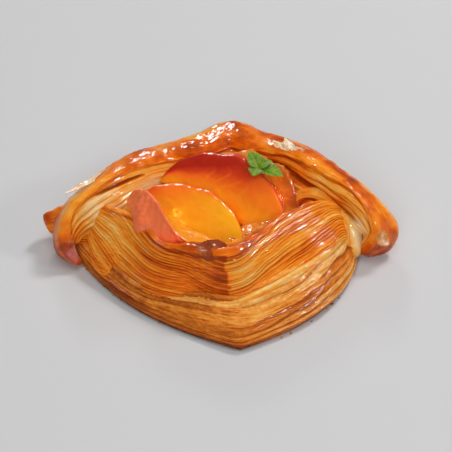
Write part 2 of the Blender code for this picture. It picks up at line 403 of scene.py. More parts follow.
@dataclass
class Strip:
    """A ribbon of dough that stands on its edge: crust on top, cut layers on both sides."""

    name: str
    waypoints: tuple[Waypoint, ...]
    layers: Layers
    spots: tuple[Spot, ...] = ()
    grooves: tuple[Groove, ...] = ()
    creases: tuple[Crease, ...] = ()
    calm: tuple[Spot, ...] = ()  # where the layers have drawn out smooth
    crust_browning: float = 0.55
    edge_browning: float = 0.5  # of the cut layers beside the crust
    foot_browning: float = 0.35  # of the cut layers at the underside
    lip: float = 0.45  # how far the crust's edge stands over the cut face
    blister: float = 0.55  # height of the crust's bubbles
    section_power: float = 4.5
    fan: float = 0.1  # the layers open out towards the cut face that shows
    around: int = 300
    fineness: float = 2.6  # how much closer the steps are on the cut face that shows
    step: float = 0.5  # length of a ring
    end_rows: int = 10
    samples: int = 400  # spans that its length is measured by
    ahead: float = 0.01  # share of the length over which its direction is taken
    far_fold: float = 0.92  # the level down to which the crust is folded over the hidden side
    fold_step: float = 0.04  # levels over which the folded crust ends
    crust_turn: tuple[float, float] = (0.35, 0.9)  # how far up a cut face turns to crust
    cut_turn: tuple[float, float] = (0.5, 0.95)  # how far sideways layers show in full
    lag: float = 3.0  # how far the layers of the two sides are out of step
    lip_shadow: float = 0.05  # levels that the lip shades
    slit_wobble: float = 0.05  # how far a slit strays from its line, in levels
    crease_wobble: float = 0.006  # how far a fold strays, as a share of the strip's length
    crease_fade: float = 1.2  # how much faster than its height its painted shade fades
    crease_pale: float = 0.6  # how pale its painted light on the other side is, as a share of the shade
    tone_shade: float = 0.15  # how much a cut face is browned by its layers' own tones
    crease_shade: float = 0.28  # and by painted shade where it lies deep between layers
    even_crest: float = 0.62  # the crest at which that neither darkens nor lightens it: lower crests get painted shade, higher ones a painted highlight
    slit_shade: float = 0.18  # and by painted shade in a slit
    dark_slit: float = 1.5  # depth at which a slit is as dark as it gets
    lip_shade: float = 0.2  # and by the painted shadow of the lip over it
    bubble_shade: float = 0.14  # how much the crust is browned on its bubbles
    blotch_shade: float = 0.3  # and in blotches
    blotch_length: float = 12.0
    rows: list[RowFrame] = field(default_factory=list)
    section: Section | None = None

    def lay_out(self) -> None:
        """Works out the rings along the waypoints."""
        crusts = [Vector(w.crust) for w in self.waypoints]
        facings = [Vector(w.facing).normalized() for w in self.waypoints]
        widths, depths, slides, folds, skirts = zip(*(w[2:] for w in self.waypoints))
        places = [spline(crusts, n / self.samples) for n in range(self.samples + 1)]
        lengths = np.cumsum([0.0] + [(q - p).length for p, q in zip(places, places[1:])])
        steps = round(lengths[-1] / self.step)
        wanted = np.linspace(0.0, lengths[-1], steps + 1)
        shares = np.interp(wanted, lengths, np.linspace(0, 1, self.samples + 1))
        for row in range(-self.end_rows, steps + self.end_rows + 1):
            at = float(shares[min(max(row, 0), steps)])
            ahead = spline(crusts, min(at + self.ahead, 1.0))
            ahead = (ahead - spline(crusts, max(at - self.ahead, 0.0))).normalized()
            facing = squared(spline(facings, at), ahead)
            half_depth = spline(depths, at) / 2
            half_width = spline(widths, at)
            swing = max(-row, row - steps, 0) / self.end_rows * math.pi / 2
            centre = spline(crusts, at) - facing * half_depth
            centre += ahead * half_width * math.sin(swing) * (1 if row > 0 else -1)
            travelled = lengths[-1] * min(max(row / steps, 0.0), 1.0)
            self.rows.append(
                RowFrame(
                    centre, ahead.cross(facing), facing, half_width, half_depth, math.cos(swing),
                    at, float(travelled), spline(slides, at), spline(folds, at),
                    spline(skirts, at),
                )
            )
        middle = self.rows[len(self.rows) // 2]
        proportion = middle.half_depth / middle.half_width
        self.section = Section(self.around, self.section_power, proportion, self.fineness)

    def slit(self, row: RowFrame, level: float) -> float:
        """How deep the grooves cut in at a place.

        Args:
            row: The ring there.
            level: -1 at the underside to 1 at the crust.

        Returns:
            Millimetres.
        """
        cut = 0.0
        for groove in self.grooves:
            if groove.start < row.share < groove.end:
                part = (row.share - groove.start) / (groove.end - groove.start)
                middle = groove.start_level + (groove.end_level - groove.start_level) * part
                middle += self.slit_wobble * wander(6.0, row.travelled / 5)
                ends = math.sin(math.pi * part) ** 0.5
                off = abs(level - middle) * row.half_depth
                cut = max(cut, groove.depth * ends * bell(off, groove.width / 2))
        return cut

    def crease(self, row: RowFrame, level: float) -> tuple[float, float]:
        """What the folds across the strip do at a place.

        Args:
            row: The ring there.
            level: -1 at the underside to 1 at the crust.

        Returns:
            How far the surface stands out and how much darker it is, as painted shade, or paler, as
            painted light.
        """
        height = 0.0
        darker = 0.0
        for crease in self.creases:
            share = row.share - crease.share + self.crease_wobble * wander(12.0, 2.2 * level)
            off = share * self.rows[-1].travelled / crease.width
            height += crease.height * math.exp(-abs(off))
            dark_side = math.exp(self.crease_fade * off) if off < 0 else 0.0
            pale_side = self.crease_pale * math.exp(-off) if off >= 0 else 0.0
            darker += crease.browning * (dark_side - pale_side)
        return height, darker

    def bubbles(self, place: Vector) -> float:
        """How high the crust stands at a place for its bubbles of about 6, 2.4 and 1 mm.

        Args:
            place: The place.

        Returns:
            A height between about -1.8 and 1.8.
        """
        seed = self.layers.seed
        height = wander(seed + 5, place.x / 6, place.y / 6 + place.z / 5)
        height += 0.6 * wander(seed + 6, place.x / 2.4, place.y / 2.4 + place.z / 2.4)
        return height + 0.25 * wander(seed + 9, place.x, place.y + place.z)

    def point(self, i: int, j: int) -> SkinPoint:
        """The dough's surface at one step.

        Args:
            i: Step round.
            j: Step along.

        Returns:
            The place, browning and crest there.
        """
        row = self.rows[j]
        a, b = self.section.a[i], self.section.b[i]
        flat = row.across * a * row.half_width
        flat += row.facing * b * row.half_depth * (1 + self.fan * a)
        slope = row.skirt / (2 * row.half_depth)
        if a > 0:
            flat += row.across * a * row.skirt * ((1 - b) / 2) ** 0.8
        place = row.centre + flat * row.shrink
        side, top = self.section.outward(i, row.half_width, row.half_depth)
        outward = row.across * side + row.facing * (top + slope * max(side, 0.0))
        outward.normalize()
        ragged = 0.03 * wander(9.0, row.travelled / 2.5) + 0.05 * wander(10.0, row.travelled / 8)
        fold = row.fold + ragged if a > 0 else self.far_fold
        folded = smooth_step(fold, fold + self.fold_step, b)
        crust = max(smooth_step(*self.crust_turn, top), folded, 1 - row.shrink)
        cut_face = smooth_step(*self.cut_turn, abs(side)) * (1 - crust)
        turned = row.travelled + math.copysign(self.lag, a)
        relief, crest, tone = self.layers.at(turned, b, 2 * row.half_depth, row.slide)
        calm = 1 - min(browned(place, self.calm), 1.0)
        relief, crest, tone = relief * calm, 1 - (1 - crest) * calm, tone * calm
        slit = self.slit(row, b) if a > 0 else 0.0
        crease, darker = self.crease(row, b) if a > 0 else (0.0, 0.0)
        bubbles = self.bubbles(place)
        blotch = wander(self.layers.seed + 11, row.travelled / self.blotch_length, 1.2 * a)
        lip = self.lip * folded * smooth_step(0.2, 0.8, side) * (1 + 2 * ragged)
        rise = cut_face * (relief - slit) + crease * smooth_step(0.3, 0.9, side)
        rise += lip + crust * self.blister * bubbles
        place = place + outward * rise * row.shrink
        place.z = max(place.z, 0.0)
        depth = (1 - b) / 2
        # painted shadow that the crust's lip casts on the cut face below it
        under_lip = bell(b - fold + self.lip_shadow, self.lip_shadow) if a > 0 else 0.0
        cut_tone = self.edge_browning + (self.foot_browning - self.edge_browning) * depth
        cut_tone += self.tone_shade * tone + self.crease_shade * (self.even_crest - crest)
        cut_tone += self.slit_shade * min(slit, self.dark_slit) + self.lip_shade * under_lip
        # the folds' painted shade and painted light
        cut_tone += darker
        crust_tone = self.crust_browning + self.bubble_shade * bubbles
        crust_tone += self.blotch_shade * blotch
        browning = cut_tone + (crust_tone - cut_tone) * crust + browned(place, self.spots)
        shown_crest = crest * cut_face + (1 - cut_face)
        # crest is lowered in slits and under the lip, so the material paints shade there as well
        return SkinPoint(place, browning, shown_crest * (1 - min(slit + 0.5 * under_lip, 1.0)))

    def build(self) -> bpy.types.Object:
        """Makes the strip's mesh."""
        self.lay_out()
        return wrapped_grid(self.name, self.around, len(self.rows) - 1, self.point)


class Edge(NamedTuple):
    """How the base's cut edge has risen at one place on the footprint."""

    height: float
    lean: float  # how far the top of the edge lies inside its foot
    bulge: float


@dataclass
class Base:
    """The bottom sheet of the danish, a diamond whose cut edge shows all its layers."""

    name: str = "dough_base"
    corners: tuple[Vector, ...] = (
        Vector((7.2, -50.4)), Vector((46.5, 4)), Vector((3, 49.3)), Vector((-52, 2)),
    )
    bows: tuple[Vector, ...] = (
        Vector((50, -31)), Vector((38, 34)), Vector((-36, 34)), Vector((-36, -34)),
    )
    edges: tuple[Edge, ...] = (
        Edge(9, 10, 1.5), Edge(12.5, 6.5, 1.8), Edge(11, 3, 1.5), Edge(11, 7, 1.5),
        Edge(11, 11, 1.5), Edge(10, 7, 1.5), Edge(6, 3, 1), Edge(6.5, 3.5, 1.2),
    )
    well_floor: float = 11.0
    foot_rounding: float = 0.8
    lean_curve: float = 1.3
    corner_ease: float = 0.025  # how far along the edge a corner is rounded off at its top
    girth: float = 330.0  # length of its edge
    browning: float = 0.6  # of its cut edge
    top_browning: float = 0.47
    # the turned-up crust's brown, drawn darker still as painted shade along the foot
    rim_browning: float = 0.82
    foot_browning: float = 0.75  # of the underside
    rim_rise: float = 0.35  # how far the rim stands out
    pitting: float = 0.12  # depth of the rim's pits
    tone_shade: float = 0.19  # how much the cut edge is browned by its layers' own tones
    top_tone_shade: float = 0.17
    crease_shade: float = 0.34  # and by painted shade where it lies deep between layers
    even_crest: float = 0.55  # the crest at which that neither darkens nor lightens it: lower crests get painted shade, higher ones a painted highlight
    around: int = 720
    side_rows: int = 78
    ledge_rows: int = 30
    top_rows: int = 8
    ledge: float = 6.0  # width of the shoulder above the edge, which shows layers too
    ledge_rise: float = 1.2
    rim: float = 0.17  # share of the edge's height that is the underside's turned-up crust
    layers: Layers = Layers(6, 1.5, 40, 0.5, 0.5, 0.2, 21)
    spots: tuple[Spot, ...] = (
        Spot((8, -49, 2), 9, 0.12), Spot((-34, -22, -2), 13, 0.24), Spot((-12, -38, 0), 16, 0.18),
        Spot((15, -45, 7), 8, -0.12), Spot((41, -14, 8), 8, -0.14),
        Spot((34, -20, 12.5), 2.4, -0.16), Spot((27, -26, 11.7), 2.4, -0.2),
        Spot((20, -30.5, 11), 2.4, -0.2), Spot((13, -35, 10.3), 2.4, -0.2),
    )

    def footprint(self, turn: float) -> Vector:
        """The foot of the edge.

        Args:
            turn: From 0 to 1, counter-clockwise from the front corner.

        Returns:
            Its x and y.
        """
        side = int(turn * 4) % 4
        t = turn * 4 - int(turn * 4)
        start, end = self.corners[side], self.corners[(side + 1) % 4]
        return start * (1 - t) ** 2 + self.bows[side] * 2 * t * (1 - t) + end * t**2

    def rounded(self, turn: float, rise: float) -> Vector:
        """The footprint with its corners rounder the higher up the edge it is.

        Args:
            turn: As for footprint.
            rise: 0 at the foot to 1 at the edge's top.

        Returns:
            Its x and y.
        """
        ease = self.corner_ease * rise
        places = (self.footprint((turn + ease * n / 3) % 1.0) for n in range(-3, 4))
        return sum(places, Vector((0.0, 0.0))) / 7

    def edge(self, turn: float) -> Edge:
        """The edge's form, blended between the places that edges gives.

        Args:
            turn: As for footprint.

        Returns:
            The form there.
        """
        place = (turn % 1.0) * len(self.edges)
        here = self.edges[int(place) % len(self.edges)]
        after = self.edges[(int(place) + 1) % len(self.edges)]
        blend = smooth_step(0.0, 1.0, place - int(place))
        return Edge(*(a + (b - a) * blend for a, b in zip(here, after)))

    def point(self, i: int, j: int) -> SkinPoint:
        """The base's surface, from the middle of its underside round its edge to the well.

        Args:
            i: Step round the footprint.
            j: Step from the underside to the well floor.

        Returns:
            The place, browning and crest there.
        """
        turn = (i % self.around) / self.around
        if j <= 1:
            foot = self.footprint(turn)
            inner = (foot - foot.normalized() * self.foot_rounding) * j
            return SkinPoint(Vector((*inner, 0.0)), self.foot_browning)
        if j <= 1 + self.side_rows:
            return self.cut_edge(turn, (j - 1) / self.side_rows)
        return self.top(turn, j - 1 - self.side_rows)

    def start(self, turn: float) -> tuple[float, Vector, Edge, float]:
        """What the cut edge and the top need to know at one turn.

        Args:
            turn: As for footprint.

        Returns:
            Millimetres along the edge, the way inwards, the edge's form and its slant height.
        """
        edge = self.edge(turn)
        along = (turn + 0.5) % 1.0 * self.girth
        slant = math.hypot(edge.height, edge.lean)
        return along, -self.footprint(turn).normalized(), edge, slant

    def cut_edge(self, turn: float, rise: float) -> SkinPoint:
        """The cut edge's surface.

        Args:
            turn: As for footprint.
            rise: 0 at the foot to 1 at the edge's top.

        Returns:
            The place, browning and crest there.
        """
        along, inward, edge, tilt = self.start(turn)
        inset = edge.lean * rise**self.lean_curve - edge.bulge * math.sin(math.pi * rise)
        inset += self.foot_rounding * bell(rise, 0.05)
        height = edge.height * rise
        out = -inward * (edge.height / tilt)
        outward = Vector((out.x, out.y, edge.lean / tilt))
        relief, crest, tone = self.layers.at(along, rise * 2 - 1, tilt, 0.0)
        rim = smooth_step(self.rim + 0.03, self.rim - 0.03, rise + 0.02 * wander(8.0, along / 5.5))
        # the layers lie flatter on the left front edge
        low = 1 - 0.55 * smooth_step(0.6, 0.75, turn) * smooth_step(1.0, 0.96, turn)
        pits = wander(28.0, along, height) + 0.6 * wander(29.0, along * 2.1, height * 2)
        place = Vector((*(self.rounded(turn, rise) + inward * inset), height))
        raised = relief * (1 - rim) * low + self.rim_rise * rim + self.pitting * pits
        place += outward * raised * smooth_step(0.0, 0.08, rise)
        browning = self.browning - 0.1 * smooth_step(0.2, 0.8, rise) + self.tone_shade * tone
        browning += self.crease_shade * (self.even_crest - crest)
        browning += (self.rim_browning + 0.1 * pits - browning) * rim + browned(place, self.spots)
        return SkinPoint(place, browning, max(crest, rim))

    def top(self, turn: float, row: int) -> SkinPoint:
        """The surface of the shoulder above the cut edge, and of the well's floor.

        Args:
            turn: As for footprint.
            row: Step from the edge's top inwards.

        Returns:
            The place, browning and crest there.
        """
        along, inward, edge, tilt = self.start(turn)
        shoulder = min(row / self.ledge_rows, 1.0)
        level = 1 + 2 * shoulder * self.ledge / tilt
        relief, crest, tone = self.layers.at(along, level, tilt, 0.0)
        fade = smooth_step(1.0, 0.6, shoulder)
        sunk = max(row - self.ledge_rows, 0) / self.top_rows
        inset = edge.lean + self.ledge * shoulder
        plan = (self.rounded(turn, 1.0) + inward * inset) * (1 - sunk)
        height = edge.height + self.ledge_rise * shoulder + relief * fade
        height += (self.well_floor - height) * smooth_step(0.0, 0.5, sunk)
        place = Vector((*plan, height))
        browning = self.top_browning + self.top_tone_shade * tone + browned(place, self.spots)
        browning += self.crease_shade * (self.even_crest - crest) * fade
        return SkinPoint(place, browning, 1 - (1 - crest) * fade)

    def build(self) -> bpy.types.Object:
        """Makes the base's mesh."""
        rows = 1 + self.side_rows + self.ledge_rows + self.top_rows
        return wrapped_grid(self.name, self.around, rows, self.point)


# ------------------------------------------------------------------ flakes, crumbs and glaze


@dataclass
class Flake:
    """A loose shard of crust: thin, curled and torn round its edge."""

    name: str
    centre: Triple
    normal: Triple
    heading: Triple  # the way its length runs
    length: float
    width: float
    browning: float
    curl: float = 0.6  # how far its two ends lift
    torn: float = 0.35
    seed: float = 1.0
    thickness: float = 0.2
    wave_shade: float = 0.15  # how much darker its high parts are
    steps: tuple[int, int] = (44, 26)  # along its length and its width

    def build(self) -> bpy.types.Object:
        """Makes the flake's mesh from a square sheet, rounded to an oval and torn.

        Returns:
            The flake.
        """
        up = Vector(self.normal).normalized()
        ahead = squared(Vector(self.heading), up)
        across = up.cross(ahead)
        shell = Shell()
        along, wide = self.steps
        bmesh.ops.create_grid(shell.mesh, x_segments=along, y_segments=wide, size=1.0, calc_uvs=True)
        for vert in shell.mesh.verts:
            x = vert.co.x * math.sqrt(1 - vert.co.y**2 / 2)
            y = vert.co.y * math.sqrt(1 - vert.co.x**2 / 2)
            angle = math.atan2(y, x)
            edge = wander(self.seed, 2 * math.cos(angle), 2 * math.sin(angle))
            edge += 0.5 * wander(self.seed + 1, 7 * math.cos(angle), 7 * math.sin(angle))
            reach = 1 + self.torn * edge
            wave = wander(self.seed + 2, 1.3 * x, 1.3 * y) + 0.3 * wander(self.seed + 3, 4 * x, 4 * y)
            place = Vector(self.centre) + ahead * (x * reach * self.length / 2)
            place += across * (y * reach * self.width / 2) + up * (self.curl * (x * x + wave))
            vert.co = place * MM
            shell.mark([vert], self.browning + self.wave_shade * wave)
        bmesh.ops.solidify(shell.mesh, geom=shell.mesh.faces[:], thickness=self.thickness * MM)
        return finished(self.name, shell.mesh)


@dataclass
class Crumbs:
    """Crumbs and slivers of crust on the table round the pastry's foot."""

    name: str = "crumbs"
    count: int = 16
    seed: int = 7
    least: float = 0.2
    most: float = 0.5
    roughness: float = 0.12  # how far its corners are moved, as a share of its size
    rest: float = 0.42  # height of its middle, as a share of its size
    flatness: float = 0.5
    fronts: tuple[tuple[float, float], ...] = ((0.78, 0.98), (0.02, 0.24))  # turns with most
    out: tuple[float, float] = (-0.3, 0.9)  # how far from the foot they lie
    lengths: tuple[float, float] = (0.8, 2.2)  # over their width
    brownings: tuple[float, float] = (0.35, 0.75)

    def build(self, base: Base) -> bpy.types.Object:
        """Makes all the crumbs as one mesh.

        Args:
            base: The dough whose foot they lie along.

        Returns:
            The crumbs.
        """
        rng = random.Random(self.seed)
        shell = Shell()
        for _ in range(self.count):
            turn = rng.choice([*(rng.uniform(*front) for front in self.fronts), rng.random()])
            foot = base.footprint(turn)
            out = foot.normalized() * rng.uniform(*self.out)
            size = rng.uniform(self.least, self.most)
            long = size * rng.uniform(*self.lengths)
            shape = Matrix.Diagonal((long, size, self.flatness * size, 1.0))
            spin = Matrix.Rotation(rng.uniform(0, math.tau), 4, "Z")
            place = Matrix.Translation(Vector((*(foot + out), self.rest * size)) * MM)
            verts = shell.ball(1, place @ spin @ shape)
            shell.mark(verts, rng.uniform(*self.brownings))
            for vert in verts:
                moved = Vector(rng.uniform(-self.roughness, self.roughness) for _ in range(3))
                vert.co += moved * size * MM
                vert.co.z = max(vert.co.z, 0.0)
        return finished(self.name, shell.mesh, weld=1e-8)


@dataclass
class GlazeBeads:
    """Drops and runs of clear glaze that stand on the fruit and on the crust's inner edge."""

    name: str = "glaze_beads"
    runs: tuple[tuple[float, float, float, float, int], ...] = (
        # from x, y to x, y, and how many
        (-14.6, 0.8, -13.4, 0, 5),
        (-13.2, -2.2, -11.8, -3.8, 6),
        (18, 12, 24, 3, 12),
        (4, -15.5, 20, -5.5, 18),
        (5, -19.5, 18, -14, 4),
    )
    seed: int = 9
    least: float = 0.4
    most: float = 1.3
    flatness: float = 0.15  # height as a share of its width
    facing: Triple = (0.26, -0.23, 0.94)  # the way a bead sags: nearly level
    cling: float = 0.25  # and how much it leans to what it stands on
    spread: float = 0.7  # how far a bead may lie off its run
    dent: float = 0.08  # unevenness, as a share of its size
    dent_pitch: float = 0.8
    lengths: tuple[float, float] = (1.0, 1.8)  # over its width
    browning: float = 0.45
    above: float = 60.0  # a height over the whole danish

    def build(self, ground: Sequence[bpy.types.Object]) -> bpy.types.Object:
        """Makes all the beads as one mesh.

        Args:
            ground: The pieces that the beads may stand on.

        Returns:
            The beads.
        """
        rng = random.Random(self.seed)
        bpy.context.view_layer.update()
        shell = Shell(mapped=False)
        for start_x, start_y, end_x, end_y, count in self.runs:
            for _ in range(count):
                part = rng.random()
                x = start_x + (end_x - start_x) * part + rng.uniform(-1, 1) * self.spread
                y = start_y + (end_y - start_y) * part + rng.uniform(-1, 1) * self.spread
                casts = (piece.ray_cast(Vector((x, y, self.above)) * MM, -UP) for piece in ground)
                hits = [(place, normal) for hit, place, normal, _ in casts if hit]
                place, normal = max(hits, key=lambda found: found[0].z)
                size = rng.uniform(self.least, self.most)
                long = size * rng.uniform(*self.lengths)
                shape = Matrix.Diagonal((long, size, self.flatness * size, 1.0))
                sag = (Vector(self.facing) + self.cling * normal).normalized()
                lie = sag.to_track_quat("Z", "Y").to_matrix().to_4x4()
                spin = Matrix.Rotation(rng.uniform(0, math.tau), 4, "Z")
                verts = shell.ball(3, Matrix.Translation(place) @ lie @ spin @ shape)
                shell.mark(verts, self.browning)
                for vert in verts:
                    x, y, z = vert.co / MM
                    uneven = wander(57.0, x / self.dent_pitch, (y + z) / self.dent_pitch)
                    vert.co += normal * (self.dent * size * uneven * MM)
        return finished(self.name, shell.mesh)


@dataclass
class GlazePool:
    """Apricot glaze that has run together under the fruit, with bubbles baked into it."""

    name: str = "glaze_pool"
    centre: Triple = (14.0, -3.8, 12.4)
    length: float = 25.0
    width: float = 13.0
    height: float = 4.6
    heading: float = 38.0  # degrees from +X
    browning: float = 0.4
    swell: float = 0.3  # height of its unevenness, coarse and fine
    swell_pitches: tuple[float, float] = (5.0, 1.7)
    swell_shade: float = 0.25  # how much darker it is where it stands deeper
    bubbles: int = 34
    bubble_radii: tuple[float, float] = (0.4, 1.2)
    bubble_browning: float = 0.15
    seed: int = 3

    def build(self) -> bpy.types.Object:
        """Makes the pool and its bubbles as one mesh.

        Returns:
            The pool.
        """
        rng = random.Random(self.seed)
        shell = Shell(mapped=False)
        turn = Matrix.Rotation(math.radians(self.heading), 4, "Z")
        lie = Matrix.Translation(Vector(self.centre) * MM) @ turn
        shape = Matrix.Diagonal((self.length / 2, self.width / 2, self.height / 2, 1.0))
        for vert in shell.ball(6, lie @ shape):
            at = vert.co / MM
            waves = (
                wander(51.0 + n, at.x / pitch, at.y / pitch)
                for n, pitch in enumerate(self.swell_pitches)
            )
            swell = sum(self.swell * wave for wave in waves)
            vert.co.z += swell * MM
            shell.mark([vert], self.browning + self.swell_shade * swell)
        for _ in range(self.bubbles):
            across = rng.uniform(-0.9, 0.9)
            spot = Vector((across, rng.uniform(-0.9, 0.2) * math.sqrt(1 - across * across), 0.0))
            top = math.sqrt(max(1 - spot.length_squared, 0.0))
            spot = Vector((spot.x * self.length / 2, spot.y * self.width / 2, top * self.height / 2))
            size = Matrix.Scale(rng.uniform(*self.bubble_radii), 4)
            bubble = shell.ball(3, lie @ Matrix.Translation(spot * MM) @ size)
            shell.mark(bubble, self.bubble_browning)
        return finished(self.name, shell.mesh)


# ------------------------------------------------------------------ fruit


@dataclass
class PeachSlice:
    """A wedge of peach, thin on its inner edge and widest at the skin."""

    name: str
    centre: Triple  # middle of the line between the slice's two tips
    tips: Triple  # the way from the left tip to the right one
    skin: Triple  # the way the middle of the skin faces
    half_length: float
    depth: float
    wedge: float  # angle between the two cut faces, degrees
    twist: float  # from tip to tip, degrees
    blush_left: float  # how red the flesh is beside the skin, at the left tip
    blush_right: float
    blush_core: float  # and along the inner edge
    skin_blush: float
    seed: float
    wrinkle: float = 0.15
    waver: float = 0.03  # unevenness of its outline, as a share of its depth
    fibres: float = 0.08  # how much paler the fibres from its inner edge to its skin are
    fibre_count: float = 5.5
    taper: float = 0.0  # how much slimmer the right tip is than the left one
    inner_edge: float = 1.2
    power: float = 4.6
    around: int = 150
    along: int = 160
    proportion: float = 0.6  # of the cross-section that its steps are spread over
    skin_turn: tuple[float, float] = (0.7, 0.99)  # shares of the way out between which skin starts
    fuzz_pitch: float = 0.9
    dent_shade: float = 0.07
    fuzz_shade: float = 0.12
    fibre_width: float = 0.09  # as a share of the distance between fibres

    def point(self, section: Section, i: int, j: int) -> SkinPoint:
        """The slice's surface at one step.

        Args:
            section: The slice's cross-section.
            i: Step round.
            j: Step from the left tip to the right one.

        Returns:
            The place, with browning as the blush of the flesh.
        """
        tips = Vector(self.tips).normalized()
        skin = squared(Vector(self.skin), tips)
        x = -math.cos(math.pi * j / self.along)
        arc = math.sqrt(max(1 - x * x, 0.0))
        a, b = section.a[i], section.b[i]
        slim = 1 - self.taper * smooth_step(-0.1, 1.0, x)
        reach = self.depth * slim * (1 + self.waver * 2 * wander(self.seed + 3, 4.5 * x))
        outward = reach * arc * (1 + a) / 2
        thickness = outward * math.tan(math.radians(self.wedge) / 2) + self.inner_edge * arc
        twist = math.radians(self.twist) * x / 2
        away = skin * math.cos(twist) + tips.cross(skin) * math.sin(twist)
        across = tips.cross(away)
        place = Vector(self.centre) + tips * x * self.half_length
        place += away * outward + across * b * thickness
        side, top = section.outward(i, 1.0, self.proportion)
        normal = away * side + across * top
        dents = wander(self.seed, x * 3.1, outward / 4 + b)
        dents += 0.35 * wander(self.seed + 1, x * 11, outward / 1.6 + 2 * b)
        pitch = self.fuzz_pitch
        fuzz = wander(self.seed + 2, place.x / pitch, (place.y + place.z) / pitch)
        on_skin = smooth_step(*self.skin_turn, a + 0.06 * dents)
        place += normal * (dents * (2 + 3 * on_skin) + 0.5 * fuzz * on_skin) * self.wrinkle * arc
        share = (x + 1) / 2
        rim = self.blush_left + (self.blush_right - self.blush_left) * smooth_step(0.15, 0.95, share)
        reach = smooth_step(0.15, 1.0, (1 + a) / 2)
        blush = self.blush_core + (rim - self.blush_core) * reach
        blush += (self.skin_blush - blush) * on_skin
        blush += self.dent_shade * dents + self.fuzz_shade * fuzz * on_skin
        strand = x * self.fibre_count + 1.2 * wander(self.seed + 4, 2 * x, 1.6 * a)
        strand += 0.12 * wander(self.seed + 5, 9 * x, 4 * a)
        fibre = bell(strand - round(strand), self.fibre_width)
        fibre *= smooth_step(-1.0, -0.5, a) * smooth_step(0.9, 0.1, a)
        clear = smooth_step(-0.3, 0.3, wander(self.seed + 6, 2.4 * x, 1.5 * a))
        blush -= self.fibres * fibre * clear
        return SkinPoint(place, blush, 1 - on_skin)

    def build(self) -> bpy.types.Object:
        """Makes the slice's mesh."""
        section = Section(self.around, self.power, self.proportion, 1.0)
        return wrapped_grid(self.name, self.around, self.along, partial(self.point, section))


@dataclass
class MintLeaf:
    """A young mint leaf with a toothed edge and sunken veins, from its stalk end."""

    name: str
    root: Vector
    heading: float  # degrees from +X
    lift: float  # degrees above level
    length: float
    width: float
    curl: float = 0.14  # how far the tip bends down, as a share of the length
    fold: float = 0.25  # how far the halves rise either side of the midrib
    thickness: float = 0.28
    teeth: int = 7
    tooth: float = 0.09  # height of a tooth, as a share of the half width
    midrib: float = 0.35  # its half width
    side_vein: float = 0.3  # its half width, as a share of the gap between two
    puff: float = 0.16  # how far the blade rises between veins
    arch: float = 0.12  # and along its middle
    around: int = 48
    along: int = 72

    def point(self, i: int, j: int) -> SkinPoint:
        """The leaf's surface at one step.

        Args:
            i: Step round the blade.
            j: Step from stalk to tip.

        Returns:
            The place; browning is the paleness of the vein there.
        """
        v = j / self.along
        turn = 2 * math.pi * i / self.around
        a, b = math.cos(turn), math.sin(turn)
        heading, lift = math.radians(self.heading), math.radians(self.lift)
        level = Vector((math.cos(heading), math.sin(heading), 0.0))
        ahead = level * math.cos(lift) + UP * math.sin(lift)
        across = UP.cross(level)
        up = ahead.cross(across)
        full = math.sin(math.pi * v**0.85) ** 0.8 if 0 < v < 1 else 0.0
        tooth = 1 + self.tooth * math.sin(2 * math.pi * self.teeth * v - 1.0) * abs(a) ** 6
        half = self.width / 2 * full * tooth
        rib = bell(a * half, self.midrib)
        side_vein = abs(math.sin(math.pi * (self.teeth * (v - 0.22 * abs(a)))))
        branch = bell(side_vein, self.side_vein) * smooth_step(0.05, 0.2, abs(a))
        vein = max(rib, branch * (1 - abs(a) ** 8))
        height = self.fold * abs(a) * half - self.curl * self.length * v * v
        height += (self.puff * (1 - vein) + self.arch * (1 - a * a)) * full
        thick = self.thickness / 2 * (1 - a * a) ** 0.5 * full**0.5
        place = self.root + ahead * self.length * v + across * a * half
        place += up * (height + math.copysign(thick, b))
        return SkinPoint(place, vein, 1.0)

    def build(self) -> bpy.types.Object:
        """Makes the leaf's mesh."""
        return wrapped_grid(self.name, self.around, self.along, self.point)


# ------------------------------------------------------------------ finishes


def linear(code: str) -> tuple[float, float, float, float]:
    """Turns an sRGB hex colour into a linear one.

    Args:
        code: The colour, such as "#d2d2d3".

    Returns:
        Red, green, blue and an alpha of 1.
    """
    values = [int(code[n : n + 2], 16) / 255 for n in (1, 3, 5)]
    lit = [v / 12.92 if v <= 0.04045 else ((v + 0.055) / 1.055) ** 2.4 for v in values]
    return (*lit, 1.0)


def add_node(
    tree: bpy.types.NodeTree,
    kind: str,
    inputs: dict[str | int, Any] | None = None,
    ramp: Ramp = (),
    **settings: Any,
) -> bpy.types.Node:
    """Adds a node to a material.

    Args:
        tree: The material's nodes.
        kind: Blender's name for the node's type, without its "ShaderNode".
        inputs: For each input, by name or number, its constant or what feeds it: an output, or
            a node for its first output.
        ramp: Places and hex colours, for a colour ramp.
        settings: The node's own properties.

    Returns:
        The node.
    """
    node = tree.nodes.new(f"ShaderNode{kind}")
    for name, value in settings.items():
        setattr(node, name, value)
    for key, value in (inputs or {}).items():
        if isinstance(value, bpy.types.Node):
            value = value.outputs[0]
        if isinstance(value, bpy.types.NodeSocket):
            tree.links.new(value, node.inputs[key])
        else:
            node.inputs[key].default_value = value
    if ramp:
        elements = node.color_ramp.elements
        while len(elements) < len(ramp):
            elements.new(0.5)
        for element, (place, code) in zip(elements, ramp):
            element.position = place
            element.color = linear(code)
    return node


def blank_material(name: str) -> tuple[bpy.types.Material, Callable[..., bpy.types.Node]]:
    """Starts a material.

    Args:
        name: Its name.

    Returns:
        The material without nodes, and add_node for its tree.
    """
    made = bpy.data.materials.new(name)
    made.use_nodes = True
    made.node_tree.nodes.clear()
    return made, partial(add_node, made.node_tree)


